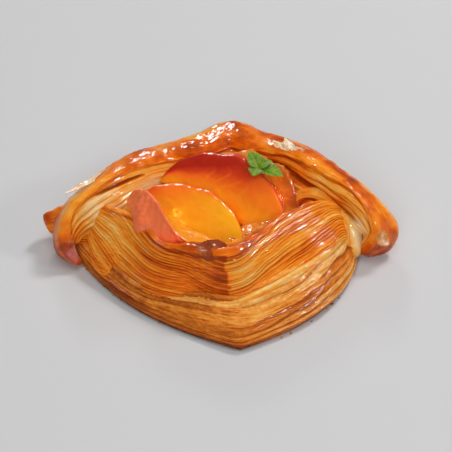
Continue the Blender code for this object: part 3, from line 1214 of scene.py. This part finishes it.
@dataclass(frozen=True)
class BakedDough:
    """Laminated dough out of the oven, brushed with clear glaze. Its creases are painted dark as
    shade, and its driest strands pale, partly as painted glints.
    """

    name: str
    strands: Triple  # cycles of the fine streaks over the piece's UV map
    ramp: Ramp
    coat: float = 0.7
    coat_roughness: float = 0.06
    fine_ripple: float = 0.02  # how far the glaze follows the streaks, millimetres
    roughness: float = 0.55
    bump: float = 0.2  # millimetres
    ripple: float = 0.12  # unevenness of the glaze over the bumps, millimetres
    streaking: float = 0.34  # how much the streaks change the browning
    mottling: float = 0.22  # and the patches across them
    patches: float = 260.0  # cycles to the metre: patches of about 4 mm
    fleck: float = 0.3  # how pale the driest strands are, partly as painted glints
    shade: float = 0.8  # how much of the crease's painted shade its depth takes
    crease: str = "#a03c06"  # colour of the painted shade in a crease
    pale: str = "#ffd488"  # colour of a dry strand, which also stands for a painted glint

    def make(self) -> bpy.types.Material:
        """Builds the material's nodes.

        Returns:
            The material.
        """
        material, add = blank_material(self.name)
        browning = add("Attribute", attribute_name="browning").outputs["Fac"]
        crest = add("Attribute", attribute_name="crest").outputs["Fac"]
        surface = add("UVMap", uv_map="surface")
        stretched = add("Mapping", {"Vector": surface, "Scale": self.strands})
        streaks = add(
            "TexNoise", {"Vector": stretched, "Scale": 1.0, "Detail": 3.0, "Roughness": 0.6}
        )
        place = add("TexCoord").outputs["Object"]
        mottle = add(
            "TexNoise", {"Vector": place, "Scale": self.patches, "Detail": 4.0, "Roughness": 0.65}
        )
        streaked = add(
            "Math", {0: streaks, 1: self.streaking, 2: -self.streaking / 2},
            operation="MULTIPLY_ADD",
        )
        mottled = add(
            "Math", {0: mottle, 1: self.mottling, 2: -self.mottling / 2}, operation="MULTIPLY_ADD"
        )
        uneven = add("Math", {0: streaked, 1: mottled})
        tone = add("Math", {0: browning, 1: uneven})
        baked = add("ValToRGB", {"Fac": tone}, ramp=self.ramp)
        # pale flecks on the driest strands: partly their own colour, partly painted glints
        dry = add(
            "MapRange",
            {"Value": streaks, "From Min": 0.43, "From Max": 0.3, "To Min": 0.0, "To Max": self.fleck},
        )
        dry_crest = add("Math", {0: dry, 1: crest}, operation="MULTIPLY")
        fresh = add("MapRange", {"Value": browning, "From Min": 0.56, "From Max": 0.34})
        dry_fresh = add("Math", {0: dry_crest, 1: fresh}, operation="MULTIPLY")
        flecked = add(
            "Mix", {"Factor": dry_fresh, "A": baked, "B": linear(self.pale)}, data_type="RGBA"
        )
        # painted shade: the crease colour darkens low crests, in creases, slits and under the lip
        creased = add(
            "MapRange",
            {"Value": crest, "From Min": 0.0, "From Max": 0.85, "To Min": self.shade, "To Max": 0.0},
        )
        colour = add(
            "Mix", {"Factor": creased, "A": flecked.outputs["Result"], "B": linear(self.crease)},
            data_type="RGBA",
        )
        bumped = add("Bump", {"Height": streaks, "Strength": 1.0, "Distance": self.bump * MM})
        runs = add("TexNoise", {"Vector": stretched, "Scale": 0.45, "Detail": 0.0})
        rippled = add("Bump", {"Height": runs, "Strength": 1.0, "Distance": self.ripple * MM})
        combed = add(
            "Bump",
            {
                "Height": streaks, "Normal": rippled, "Strength": 1.0,
                "Distance": self.fine_ripple * MM,
            },
        )
        shader = add(
            "BsdfPrincipled",
            {
                "Base Color": colour.outputs["Result"], "Normal": bumped, "Coat Normal": combed,
                "Roughness": self.roughness, "IOR": 1.45, "Coat Weight": self.coat,
                "Coat Roughness": self.coat_roughness, "Coat IOR": GLAZE_IOR,
                "Specular IOR Level": 0.03, "Subsurface Weight": 0.25,
                "Subsurface Radius": WARM_DEPTHS, "Subsurface Scale": 1.2 * MM,
            },
        )
        add("OutputMaterial", {"Surface": shader})
        return material


@dataclass(frozen=True)
class PeachFlesh:
    """Poached peach under clear glaze: wet, translucent, redder towards the skin."""

    name: str
    ramp: Ramp
    skin_ramp: Ramp
    roughness: float = 0.3
    clouding: float = 0.16  # how much the flesh's patches change its blush
    patches: float = 180.0  # cycles to the metre: patches of about 5 mm
    pores: float = 600.0  # cycles to the metre: dimples of under 2 mm

    def make(self) -> bpy.types.Material:
        """Builds the material's nodes.

        Returns:
            The material.
        """
        material, add = blank_material(self.name)
        blush = add("Attribute", attribute_name="browning").outputs["Fac"]
        place = add("TexCoord").outputs["Object"]
        cloud = add(
            "TexNoise", {"Vector": place, "Scale": self.patches, "Detail": 3.0, "Roughness": 0.55}
        )
        clouded = add(
            "Math", {0: cloud, 1: self.clouding, 2: -self.clouding / 2}, operation="MULTIPLY_ADD"
        )
        tone = add("Math", {0: blush, 1: clouded})
        flesh = add("ValToRGB", {"Fac": tone}, ramp=self.ramp)
        skin = add("ValToRGB", {"Fac": tone}, ramp=self.skin_ramp)
        cut = add("Attribute", attribute_name="crest").outputs["Fac"]
        colour = add("Mix", {"Factor": cut, "A": skin, "B": flesh}, data_type="RGBA")
        bumped = add("Bump", {"Height": cloud, "Strength": 0.6, "Distance": 0.15 * MM})
        dimples = add("TexNoise", {"Vector": place, "Scale": self.pores, "Detail": 1.0})
        rippled = add("Bump", {"Height": dimples, "Strength": 1.0, "Distance": 0.18 * MM})
        on_skin = add("Math", {0: 1.0, 1: cut}, operation="SUBTRACT")
        pored = add(
            "Bump", {"Height": dimples, "Normal": bumped, "Strength": on_skin, "Distance": 0.2 * MM}
        )
        shader = add(
            "BsdfPrincipled",
            {
                "Base Color": colour.outputs["Result"], "Normal": pored, "Coat Normal": rippled,
                "Roughness": self.roughness, "IOR": 1.4, "Coat Weight": 1.0,
                "Coat Roughness": 0.07, "Coat IOR": GLAZE_IOR, "Specular IOR Level": 0.2,
                "Subsurface Weight": 0.3, "Subsurface Radius": WARM_DEPTHS,
                "Subsurface Scale": 3.0 * MM,
            },
        )
        add("OutputMaterial", {"Surface": shader})
        return material


@dataclass(frozen=True)
class MintGreen:
    """Fresh mint: satin, with paler veins and a little light through the blade."""

    name: str = "mint_leaf_green"
    vein: str = "#a0b024"
    blade: Ramp = ((0.3, "#387004"), (0.7, "#789808"))
    paleness: float = 0.55  # how much of the vein's colour shows
    patches: float = 600.0  # cycles to the metre: patches of under 2 mm

    def make(self) -> bpy.types.Material:
        """Builds the material's nodes.

        Returns:
            The material.
        """
        material, add = blank_material(self.name)
        vein = add("Attribute", attribute_name="browning").outputs["Fac"]
        place = add("TexCoord").outputs["Object"]
        patches = add("TexNoise", {"Vector": place, "Scale": self.patches, "Detail": 3.0})
        blade = add("ValToRGB", {"Fac": patches}, ramp=self.blade)
        faint = add("Math", {0: vein, 1: self.paleness}, operation="MULTIPLY")
        colour = add("Mix", {"Factor": faint, "A": blade, "B": linear(self.vein)}, data_type="RGBA")
        shader = add(
            "BsdfPrincipled",
            {
                "Base Color": colour.outputs["Result"], "Roughness": 0.5, "IOR": 1.45,
                "Specular IOR Level": 0.3, "Subsurface Weight": 0.2,
                "Subsurface Radius": (0.7, 1.0, 0.1), "Subsurface Scale": 1.0 * MM,
            },
        )
        add("OutputMaterial", {"Surface": shader})
        return material


@dataclass(frozen=True)
class ClearGlaze:
    """Clear sugar glaze, seen by its sharp glints and by the bent colour under it."""

    name: str
    tint: str

    def make(self) -> bpy.types.Material:
        """Builds the material's nodes.

        Returns:
            The material.
        """
        material, add = blank_material(self.name)
        shader = add(
            "BsdfPrincipled",
            {
                "Base Color": linear(self.tint), "Roughness": 0.04, "IOR": 1.42,
                "Transmission Weight": 1.0,
            },
        )
        add("OutputMaterial", {"Surface": shader})
        return material


@dataclass(frozen=True)
class Paper:
    """Matt paper for the floor: pale and even, with no glints, so that shadows lie soft on it."""

    name: str
    colour: str
    roughness: float = 0.9

    def make(self) -> bpy.types.Material:
        """Builds the material's nodes.

        Returns:
            The material.
        """
        material, add = blank_material(self.name)
        shader = add(
            "BsdfPrincipled", {"Base Color": linear(self.colour), "Roughness": self.roughness}
        )
        add("OutputMaterial", {"Surface": shader})
        return material


# Dough from pale and unbaked, through gold, amber and brown, to burnt. On the base's cut edge
# the same steps are duller, as less glaze lies on it, and on a dry flake they start nearly white,
# partly as painted highlight.
DOUGH_RAMP = (
    (0.0, "#ffe0a0"), (0.2, "#ffb446"), (0.4, "#ff941e"), (0.58, "#ea6a0c"),
    (0.76, "#b04408"), (1.0, "#5e1e04"),
)
EDGE_RAMP = (
    (0.0, "#ffeac0"), (0.2, "#ffcc7c"), (0.4, "#f4a648"), (0.58, "#e08028"),
    (0.76, "#ac581a"), (1.0, "#5c2810"),
)
FLAKE_RAMP = (
    (0.0, "#fff4ea"), (0.25, "#ffdcb8"), (0.5, "#dc8a3c"), (0.75, "#99441c"), (1.0, "#5c2418"),
)
# Peach from yellow flesh to the red beside its skin, its skin from pink to red, a slice that
# has caramelised, and apricot glaze from a thin film to a deep pool
PEACH_RAMP = (
    (0.0, "#ffb010"), (0.28, "#fd9412"), (0.52, "#fb7418"), (0.76, "#da4216"), (1.0, "#b8260e"),
)
SKIN_RAMP = ((0.0, "#ffaa60"), (0.4, "#ff8e58"), (0.75, "#ff7e4a"), (1.0, "#e45c36"))
CARAMEL_RAMP = (
    (0.0, "#f0a04a"), (0.35, "#ea841e"), (0.6, "#c45a10"), (0.8, "#943406"), (1.0, "#5e1c04"),
)
GLAZE_RAMP = ((0.0, "#fbb45c"), (0.4, "#f0902a"), (0.7, "#d06a14"), (1.0, "#903a08"))


class Finish(Enum):
    """Every finish on the pastry. The streaks are drawn somewhat coarser than real strands."""

    # Brushed with glaze and baked: amber streaks along the layers, with wet glints on top
    STRIP = BakedDough("glazed_danish_crust", (80.0, 30.0, 1.0), DOUGH_RAMP)
    # Baked against the tray with less glaze: drier and duller, with broad soft glints
    BASE = BakedDough(
        "baked_danish_edge", (200.0, 40.0, 1.0), EDGE_RAMP, coat=0.5, coat_roughness=0.12
    )
    # Poached and glazed: light goes into it, so it glows yellow to red under a wet film
    PEACH = PeachFlesh("poached_peach", PEACH_RAMP, PEACH_RAMP)
    # The same with its skin on: pinker, matter and finely dimpled on the outer side
    SKINNED = PeachFlesh("poached_peach_with_skin", PEACH_RAMP, SKIN_RAMP)
    # Sugar browned by the oven: dark amber, still wet
    CARAMEL = PeachFlesh("caramelised_peach", CARAMEL_RAMP, CARAMEL_RAMP)
    # Torn crust, dried thin in the oven: pale and mottled, the paleness partly painted highlight, and
    # shiny where glaze caught it
    FLAKE = BakedDough(
        "loose_crust_flake", (6, 6, 1), FLAKE_RAMP, coat=1, coat_roughness=0.08
    )
    # Boiled apricot glaze that has set: amber, and as smooth as glass
    GLAZE = PeachFlesh("apricot_glaze", GLAZE_RAMP, GLAZE_RAMP, roughness=0.15)
    # The same strained clear: all but invisible, apart from its glints
    BEAD = ClearGlaze("clear_glaze", "#ffe8c0")
    # A fresh leaf: satin green with paler veins
    MINT = MintGreen()


Finishes = dict[Finish, bpy.types.Material]


# ------------------------------------------------------------------ the danish


@dataclass
class FrontStrip(Strip):
    """The front border, bent sharply at the front corner."""

    name: str = "front_strip"
    waypoints: tuple[Waypoint, ...] = (
        Waypoint((-61, 8.8, 11.4), (-0.2, 0.5, 0.85), 2.6, 8.5, 0, 0.2),
        Waypoint((-55, 9.5, 13.8), (0, 0.5, 0.87), 5, 13.5, 0, 0.3),
        Waypoint((-43, 7, 15.5), (0.3, 0.5, 0.8), 5, 13.4, 0),
        Waypoint((-34.8, 0.8, 18.8), (0.3, 0.6, 0.74), 4, 22, 0.8, 0.88),
        Waypoint((-26.5, -6.2, 20.2), (0.25, 0.6, 0.75), 3.3, 22.6, 4.1, 0.88),
        Waypoint((-18.3, -17.1, 19.8), (0.18, 0.55, 0.8), 3.3, 20.5, 5, 0.85),
        Waypoint((-8.6, -20.9, 22.4), (0.1, 0.3, 0.93), 4.4, 21, 7.2, 0.75),
        Waypoint((2.5, -22.4, 23.2), (0, 0.3, 0.93), 5.4, 20.5, 11, 0.74),
        Waypoint((10, -17.6, 22.8), (-0.1, 0.5, 0.8), 5, 21, 8.5, 0.8),
        Waypoint((17, -11, 22.6), (-0.3, 0.6, 0.7), 5, 21, 8, 0.88),
        Waypoint((24.8, -4.2, 22.4), (-0.44, 0.62, 0.65), 5.4, 20.5, 8),
        Waypoint((31.6, 1.2, 20.8), (-0.5, 0.57, 0.65), 5.6, 18.5, 8),
        Waypoint((37, 4.8, 17.6), (-0.52, 0.52, 0.67), 5.2, 15.5, 7.2),
    )
    layers: Layers = Layers(20, 0.7, 24, 0.9, 0.42, 0.1, 2)
    spots: tuple[Spot, ...] = (
        # (0, -33, 17) deepens the painted shade on the left side of the front fold
        Spot((0, -33, 17), 4.5, 0.24), Spot((-6, -23, 21), 6, 0.15), Spot((10, -31, 17), 5, -0.16),
        Spot((-40, -6, 16), 9, -0.2), Spot((-33, -16, 12), 9, -0.08), Spot((18, -26, 13), 10, -0.1),
        Spot((38, -2, 22), 5, -0.1), Spot((-61.5, 4, 12.5), 2.6, 0.34),
        Spot((-20, -29, 9), 12, 0.1), Spot((-5, -34, 15), 6, 0.1),
    )
    creases: tuple[Crease, ...] = (Crease(0.578, 2.6, 1.5, 0.2),)
    blister: float = 0.7
    foot_browning: float = 0.44
    around: int = 296
    step: float = 0.46


@dataclass
class BackStrip(Strip):
    """The back border, which crosses over the front one at both ends."""

    name: str = "back_strip"
    waypoints: tuple[Waypoint, ...] = (
        Waypoint((-51, -8.4, 1.8), (-0.55, -0.75, -0.45), 2.2, 3, 0, -0.6),
        Waypoint((-56, -6.4, 5.6), (-0.75, -0.6, 0), 4.2, 7, 0, -0.2),
        Waypoint((-57.2, -2.6, 12.5), (-0.85, -0.4, 0.3), 4.8, 12, 0, 0.35),
        Waypoint((-54, 2.2, 19), (-0.75, -0.1, 0.6), 5, 16, 0, 0.7, 1),
        Waypoint((-47.5, 7.4, 23.5), (-0.5, 0.1, 0.87), 4.8, 18, 0, 0.8, 3),
        Waypoint((-39, 14.2, 26.2), (-0.2, 0.1, 0.97), 4.8, 18, 0, 0.8, 3.5),
        Waypoint((-29, 21, 27.5), (-0.05, 0.1, 0.99), 5.2, 18, 0, 0.75, 3),
        Waypoint((-17.5, 26.2, 27.5), (0, 0.05, 0.99), 5, 18, 0, 0.68, 3),
        Waypoint((-5, 31.4, 27.8), (0, -0.05, 0.99), 5.2, 18.5, 0, 0.62, 5),
        Waypoint((4.4, 36, 29), (0, -0.1, 0.99), 5.6, 19, 0, 0.6, 5),
        Waypoint((14.8, 31.6, 28), (0, -0.05, 0.99), 5.4, 18.5, 0, 0.66, 5),
        Waypoint((26, 27, 28), (0, 0.1, 0.99), 5, 18, 0, 0.74, 6),
        Waypoint((35.6, 19.8, 27), (0.05, 0.1, 0.99), 4.5, 18, 0, 0.82, 8),
        Waypoint((43.8, 12.6, 25.6), (0.15, 0.1, 0.98), 4.4, 18, 0, 0.88, 8),
        Waypoint((50.8, 6.4, 23), (0.3, 0.05, 0.95), 4.6, 16, 0, 0.86, 6),
        Waypoint((56.4, 0.8, 18.5), (0.45, -0.2, 0.87), 5.4, 13, 0, 0.76, 3),
        Waypoint((59.3, -2.7, 12), (0.6, -0.6, 0.53), 6.4, 11, 0, 0.5),
        Waypoint((57.4, -4.6, 6), (0.6, -0.8, 0.1), 5.8, 9, 0, 0.3),
        Waypoint((53.6, -4.8, 3), (0.45, -0.85, -0.25), 3.6, 5.6, 0, 0.3),
    )
    layers: Layers = Layers(9, 0.9, 17, 0.8, 0.5, 0.13, 5)
    grooves: tuple[Groove, ...] = (
        Groove(0.225, 0.33, 0.66, 0.4, 1, 1.8),
        Groove(0.57, 0.83, 0.42, 0.1, 1.5, 1.7),
        Groove(0.66, 0.8, 0.52, 0.45, 0.7, 0.7),
    )
    spots: tuple[Spot, ...] = (
        Spot((-25, 14, 17), 9, -0.24), Spot((-50, -4, 12), 6, 0.1), Spot((-57, -6, 7), 8, 0.26),
        # (55.5, -6, 6) darkens the right end low down by the floor, as painted shade
        Spot((-45, 3, 20), 7, -0.05), Spot((44, -2, 12), 8, -0.2), Spot((55.5, -6, 6), 9, 0.34),
        Spot((4, 37, 31), 3.5, 0.25), Spot((8, 33, 30), 10, 0.1), Spot((26, 27, 30), 9, 0.12),
        Spot((44, 13, 27), 8, 0.14), Spot((-20, 26, 29), 9, -0.06), Spot((57, 1, 19), 5, -0.08),
        # (31, 10.5, 13) is painted shadow in the hole under the inner fold; (-43, 4, 17) and (51, -2,
        # 14) are paler dough, partly painted light on faces turned from the lamps
        Spot((-43, 4, 17), 9, -0.3), Spot((51, -2, 14), 7, -0.3), Spot((31, 10.5, 13), 3.4, 0.6),
        Spot((36, 11, 20), 5, -0.24), Spot((31, 18, 24), 6, 0.16),
    )
    crust_browning: float = 0.5
    calm: tuple[Spot, ...] = (
        Spot((-26, 15, 18), 12, 0.85), Spot((44, 0, 14), 7, 0.4),
        Spot((-43, 4, 17), 8, 0.4), Spot((36, 11, 20), 5, 0.4),
    )
    edge_browning: float = 0.42
    foot_browning: float = 0.3
    step: float = 0.62


@dataclass
class InnerFold(Strip):
    """The soft fold of pale dough inside the right crossing."""

    name: str = "inner_fold"
    waypoints: tuple[Waypoint, ...] = (
        Waypoint((25, 9.4, 15.5), (-0.6, -0.3, 0.75), 1.7, 3),
        Waypoint((28.6, 10, 19), (-0.4, -0.4, 0.8), 1.9, 2.6),
        Waypoint((33.8, 8.4, 20.8), (0, -0.5, 0.85), 2.1, 2.6),
        Waypoint((39.4, 4.8, 20.2), (0.2, -0.5, 0.85), 2.5, 3.4),
        Waypoint((44.4, 0.4, 17.6), (0.4, -0.4, 0.85), 3.4, 6),
        Waypoint((47.8, -2.8, 13), (0.5, -0.5, 0.75), 4.2, 9),
        Waypoint((48, -6.6, 7.4), (0.5, -0.6, 0.6), 4, 7),
    )
    layers: Layers = Layers(6, 0.7, 12, 1, 0.45, 0.1, 61)
    spots: tuple[Spot, ...] = (Spot((47, -4, 12), 7, -0.25),)
    crust_browning: float = 0.3
    edge_browning: float = 0.45
    # its foot is drawn dark brown, as painted shade under the fold
    foot_browning: float = 0.85
    blister: float = 0.25
    section_power: float = 2.3
    around: int = 120


@dataclass
class FrontRidge(Strip):
    """The pale ridge of stretched layers under the front border's right half."""

    name: str = "front_ridge"
    waypoints: tuple[Waypoint, ...] = (
        Waypoint((4.6, -36.9, 9.6), (0.1, -0.7, 0.7), 0.5, 1),
        Waypoint((8.5, -36.6, 10.4), (0.2, -0.7, 0.7), 0.9, 1.4),
        Waypoint((14.5, -33.7, 11.3), (0.3, -0.7, 0.7), 1.2, 1.8),
        Waypoint((22.7, -29.2, 12.7), (0.4, -0.7, 0.6), 1.4, 2),
        Waypoint((31, -23.2, 13.9), (0.45, -0.65, 0.6), 1.5, 2),
        Waypoint((37, -17.6, 14.6), (0.5, -0.6, 0.6), 1.3, 2),
        Waypoint((42, -11.2, 14.4), (0.6, -0.55, 0.55), 0.7, 1.4),
    )
    layers: Layers = Layers(2, 0.3, 12, 0.4, 0.4, 0.08, 81)
    crust_browning: float = 0.2
    edge_browning: float = 0.3
    foot_browning: float = 0.55
    blister: float = 0.2
    lip: float = 0.1
    section_power: float = 2.3
    around: int = 60


@dataclass
class Dough:
    """The base and the strips that were cut from it and folded over: one sheet of dough."""

    front: Strip = field(default_factory=FrontStrip)
    back: Strip = field(default_factory=BackStrip)
    inner_fold: Strip = field(default_factory=InnerFold)
    front_ridge: Strip = field(default_factory=FrontRidge)
    base: Base = field(default_factory=Base)

    def dress(self, finishes: Finishes) -> list[bpy.types.Object]:
        """Builds the dough and finishes it.

        Args:
            finishes: Every material.

        Returns:
            The pieces.
        """
        made = []
        for part, finish in (
            (self.base, Finish.BASE), (self.front, Finish.STRIP), (self.back, Finish.STRIP),
            (self.inner_fold, Finish.STRIP), (self.front_ridge, Finish.STRIP),
        ):
            piece = part.build()
            piece.data.materials.append(finishes[finish])
            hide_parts("pastry")
            made.append(piece)
        return made


@dataclass
class Loose:
    """What came loose or ran: flakes of crust, crumbs on the table and the glaze."""

    flakes: tuple[Flake, ...] = (
        Flake(
            "dark_flake", (-1.9, -26.9, 24.9), (0.05, -0.55, 0.83), (0.1, -0.85, -0.5),
            7.5, 10.5, 0.76, curl=-0.8, torn=0.16, seed=71,
        ),
        # a small pale flake where the front corner glints; its paleness is a painted highlight
        Flake(
            "corner_flake", (4.4, -27.5, 23), (0.2, -0.5, 0.9), (0.3, -0.9, 0),
            4, 1.8, 0.3, seed=72,
        ),
        Flake(
            "back_flake_1", (21.8, 24.6, 29), (0, -0.3, 1), (0.8, -0.5, 0),
            6.5, 3.2, 0.3, seed=73,
        ),
        Flake(
            "back_flake_2", (24.8, 24.4, 29.3), (-0.1, -0.3, 1), (0.5, -0.8, 0),
            5.5, 3, 0.22, seed=74,
        ),
        Flake(
            "back_flake_3", (28.2, 22.6, 28.7), (0.1, -0.2, 1), (0.9, -0.3, 0),
            4.5, 2.4, 0.34, seed=75,
        ),
        Flake(
            "left_flake", (-45.6, 8.6, 25.4), (-0.35, 0.2, 0.9), (11.2, 9, 2.5),
            16, 3.2, 0.32, seed=76,
        ),
        Flake(
            "right_flake", (56.8, -5.9, 11.6), (0.5, -0.75, 0.5), (0.5, 0.1, -0.9),
            6.2, 5, 0.5, curl=0.2, torn=0.22, seed=78,
        ),
    )
    crumbs: Crumbs = field(default_factory=Crumbs)
    pool: GlazePool = field(default_factory=GlazePool)
    beads: GlazeBeads = field(default_factory=GlazeBeads)

    def dress(
        self, finishes: Finishes, ground: Sequence[bpy.types.Object]
    ) -> list[bpy.types.Object]:
        """Builds the loose pieces and finishes them.

        Args:
            finishes: Every material.
            ground: The pieces that the glaze may stand on.

        Returns:
            The pieces.
        """
        made = [(flake.build(), Finish.FLAKE, "baked_dough") for flake in self.flakes]
        made.append((self.crumbs.build(Base()), Finish.BASE, "baked_dough"))
        made.append((self.pool.build(), Finish.GLAZE, "peach_flesh"))
        beads = self.beads.build(ground)
        beads.visible_shadow = False  # light passes through clear glaze
        made.append((beads, Finish.BEAD, "peach_flesh"))
        for piece, finish, slot in made:
            piece.data.materials.append(finishes[finish])
        return [piece for piece, _, _ in made]


@dataclass
class Fruit:
    """Four slices of peach, from the one furthest back to the one in front."""

    slices: tuple[PeachSlice, ...] = (
        PeachSlice(
            "slice_rear", (10, 12.5, 14.5), (0.78, -0.57, -0.3), (0.63, 0.7, 0.33),
            20, 16, 40, 0, 0.1, 0.75, 0.3, 0.4, 41, wrinkle=0.5, fibres=0.2,
            fibre_count=8.0,
        ),
        PeachSlice(
            "slice_back", (0, 4.5, 14.5), (0.86, -0.47, -0.2), (0.44, 0.71, 0.55),
            24.5, 20.5, 28, 0, 1.45, 0.4, 0.24, 0.72, 43, fibres=0.12,
        ),
        PeachSlice(
            "slice_middle", (-13, -5.8, 13), (0.9, -0.42, -0.14), (0.4, 0.85, 0.38),
            22.5, 18, 26, 0, 0.62, -0.1, 0.1, 0.5, 45,
        ),
        PeachSlice(
            "slice_front", (-13.6, -4.4, 16.9), (0.86, -0.45, -0.2), (-0.48, -0.86, 0.18),
            20.5, 13, 56, 100, 0.45, 0.15, 0.2, 0.75, 47, wrinkle=0.5, taper=0.5,
        ),
    )
    special: dict[str, Finish] = field(  # the slices that aren't plain poached flesh
        default_factory=lambda: {"slice_rear": Finish.CARAMEL, "slice_front": Finish.SKINNED}
    )

    def dress(self, finishes: Finishes) -> list[bpy.types.Object]:
        """Builds the slices and finishes them.

        Args:
            finishes: Every material.

        Returns:
            The pieces.
        """
        made = []
        for part in self.slices:
            piece = part.build()
            piece.data.materials.append(finishes[self.special.get(part.name, Finish.PEACH)])
            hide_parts(f"peach_{part.name}")
            made.append(piece)
        return made


@dataclass
class Sprig:
    """The tip of a mint stem: four young leaves and a fifth that is still small."""

    centre: Vector = field(default_factory=lambda: Vector((13.6, 13.4, 27.6)))
    leaves: tuple[tuple[float, float, float, float], ...] = (
        # heading and lift in degrees, length and width
        (-22, 2, 9.5, 6.6),
        (15, 30, 5.5, 5.2),
        (125, 45, 6.6, 6),
        (-110, 6, 4.8, 5.6),
        (-160, -50, 3, 1.8),
    )

    def dress(self, finishes: Finishes) -> list[bpy.types.Object]:
        """Builds the leaves and finishes them.

        Args:
            finishes: Every material.

        Returns:
            The pieces.
        """
        made = []
        for number, (heading, lift, length, width) in enumerate(self.leaves, start=1):
            leaf = MintLeaf(f"mint_leaf_{number}", self.centre, heading, lift, length, width).build()
            leaf.data.materials.append(finishes[Finish.MINT])
            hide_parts("mint_sprig")
            made.append(leaf)
        return made


# ------------------------------------------------------------------ studio


class Shows(Enum):
    """What a light does to a surface."""

    BOTH = "shading and glints"
    SHADING = "shading only, as a fill mirrored by glaze would grey its colour"
    GLINTS = "glints only, for the sparkle along the layers"


@dataclass(frozen=True)
class Softbox:
    """A rectangular light."""

    name: str
    place: Triple  # metres
    size: tuple[float, float]  # metres, level side first
    power: float  # watts
    shows: Shows = Shows.BOTH
    roll: float = 0.0  # degrees


@dataclass(frozen=True)
class Studio:
    """Camera, floor and soft lights."""

    target: Vector = field(default_factory=lambda: Vector((2.45, 0.0, 12.3)))
    distance: float = 600.0
    elevation: float = 40.0  # degrees
    lens: float = 136.4
    floor_size: float = 3.0  # metres
    floor_colour: str = "#cfcfd0"
    sensor: float = 36.0
    walls: float = 0.08  # brightness of the room level with the pastry
    ceiling: float = 0.16  # and overhead
    softboxes: tuple[Softbox, ...] = (
        Softbox("key_softbox", (0.48, 0.48, 0.96), (0.22, 0.22), 5),
        Softbox("back_softbox", (-0.2, 1.22, 0.66), (0.18, 0.18), 2.6),
        Softbox("back_strip", (-0.25, 1.05, 0.9), (0.1, 0.5), 9, Shows.GLINTS),
        Softbox("side_softbox", (1.08, -0.34, 0.7), (0.15, 0.15), 2.4, Shows.SHADING),
        Softbox("side_strip", (1.08, -0.38, 0.66), (0.08, 0.6), 18, Shows.GLINTS, -20),
        Softbox("front_fill", (-0.2, -1.15, 0.75), (0.6, 0.6), 6.4, Shows.SHADING),
        Softbox("top_fill", (0, -0.16, 1.28), (0.8, 0.8), 4, Shows.SHADING),
    )

    def camera(self) -> None:
        """Places the camera."""
        lens = bpy.data.cameras.new("camera")
        lens.lens = self.lens
        lens.sensor_width = self.sensor
        camera = bpy.data.objects.new("camera", lens)
        tilt = math.radians(self.elevation)
        back = Vector((0.0, -math.cos(tilt), math.sin(tilt)))
        camera.location = (self.target + back * self.distance) * MM
        camera.rotation_euler = Euler((math.pi / 2 - tilt, 0.0, 0.0))
        bpy.context.scene.collection.objects.link(camera)
        bpy.context.scene.camera = camera

    def floor(self) -> None:
        """Makes the pale floor."""
        sheet = bmesh.new()
        bmesh.ops.create_grid(sheet, x_segments=1, y_segments=1, size=self.floor_size)
        floor = finished("floor", sheet)
        floor.data.materials.append(Paper("pale_paper", self.floor_colour).make())

    def light(self, box: Softbox) -> None:
        """Hangs a softbox so that it looks at the pastry.

        Args:
            box: Its size, place and power.
        """
        lamp = bpy.data.lights.new(box.name, "AREA")
        lamp.energy = box.power
        lamp.shape = "RECTANGLE"
        lamp.size, lamp.size_y = box.size
        hung = bpy.data.objects.new(box.name, lamp)
        hung.location = box.place
        hung.visible_glossy = box.shows is not Shows.SHADING
        hung.visible_diffuse = box.shows is not Shows.GLINTS
        roll = Euler((0.0, 0.0, math.radians(box.roll))).to_quaternion()
        hung.rotation_euler = (Vector(box.place).to_track_quat("Z", "Y") @ roll).to_euler()
        bpy.context.scene.collection.objects.link(hung)

    def surroundings(self) -> None:
        """Sets a white room that is darker towards its walls."""
        world = bpy.data.worlds.new("white_room")
        world.use_nodes = True
        tree = world.node_tree
        tree.nodes.clear()
        add = partial(add_node, tree)
        level = add("SeparateXYZ", {0: add("TexCoord").outputs["Generated"]}).outputs["Z"]
        strength = add("MapRange", {"Value": level, "To Min": self.walls, "To Max": self.ceiling})
        room = add("Background", {"Color": (1.0, 1.0, 1.0, 1.0), "Strength": strength})
        add("OutputWorld", {"Surface": room})
        bpy.context.scene.world = world

    def build(self) -> None:
        """Sets up the whole studio."""
        self.camera()
        self.floor()
        for box in self.softboxes:
            self.light(box)
        self.surroundings()
        bpy.context.scene.view_settings.view_transform = "Standard"


def report(pieces: Sequence[bpy.types.Object]) -> None:
    """Rides every piece on the part's one body and logs it.

    Args:
        pieces: The pieces.
    """
    for piece in pieces:
        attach(piece, "root")
        LOG.info("%s: %d faces", piece.name, len(piece.data.polygons))


def main() -> None:
    """Builds the danish piece by piece, then the studio round it."""
    logging.basicConfig(level=logging.INFO, format="%(message)s")
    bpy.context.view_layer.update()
    finishes = {finish: finish.value.make() for finish in Finish}
    food = Dough().dress(finishes) + Fruit().dress(finishes)
    report(food)
    report(Sprig().dress(finishes))
    report(Loose().dress(finishes, food))
    Studio().build()


if __name__ == "__main__":
    main()
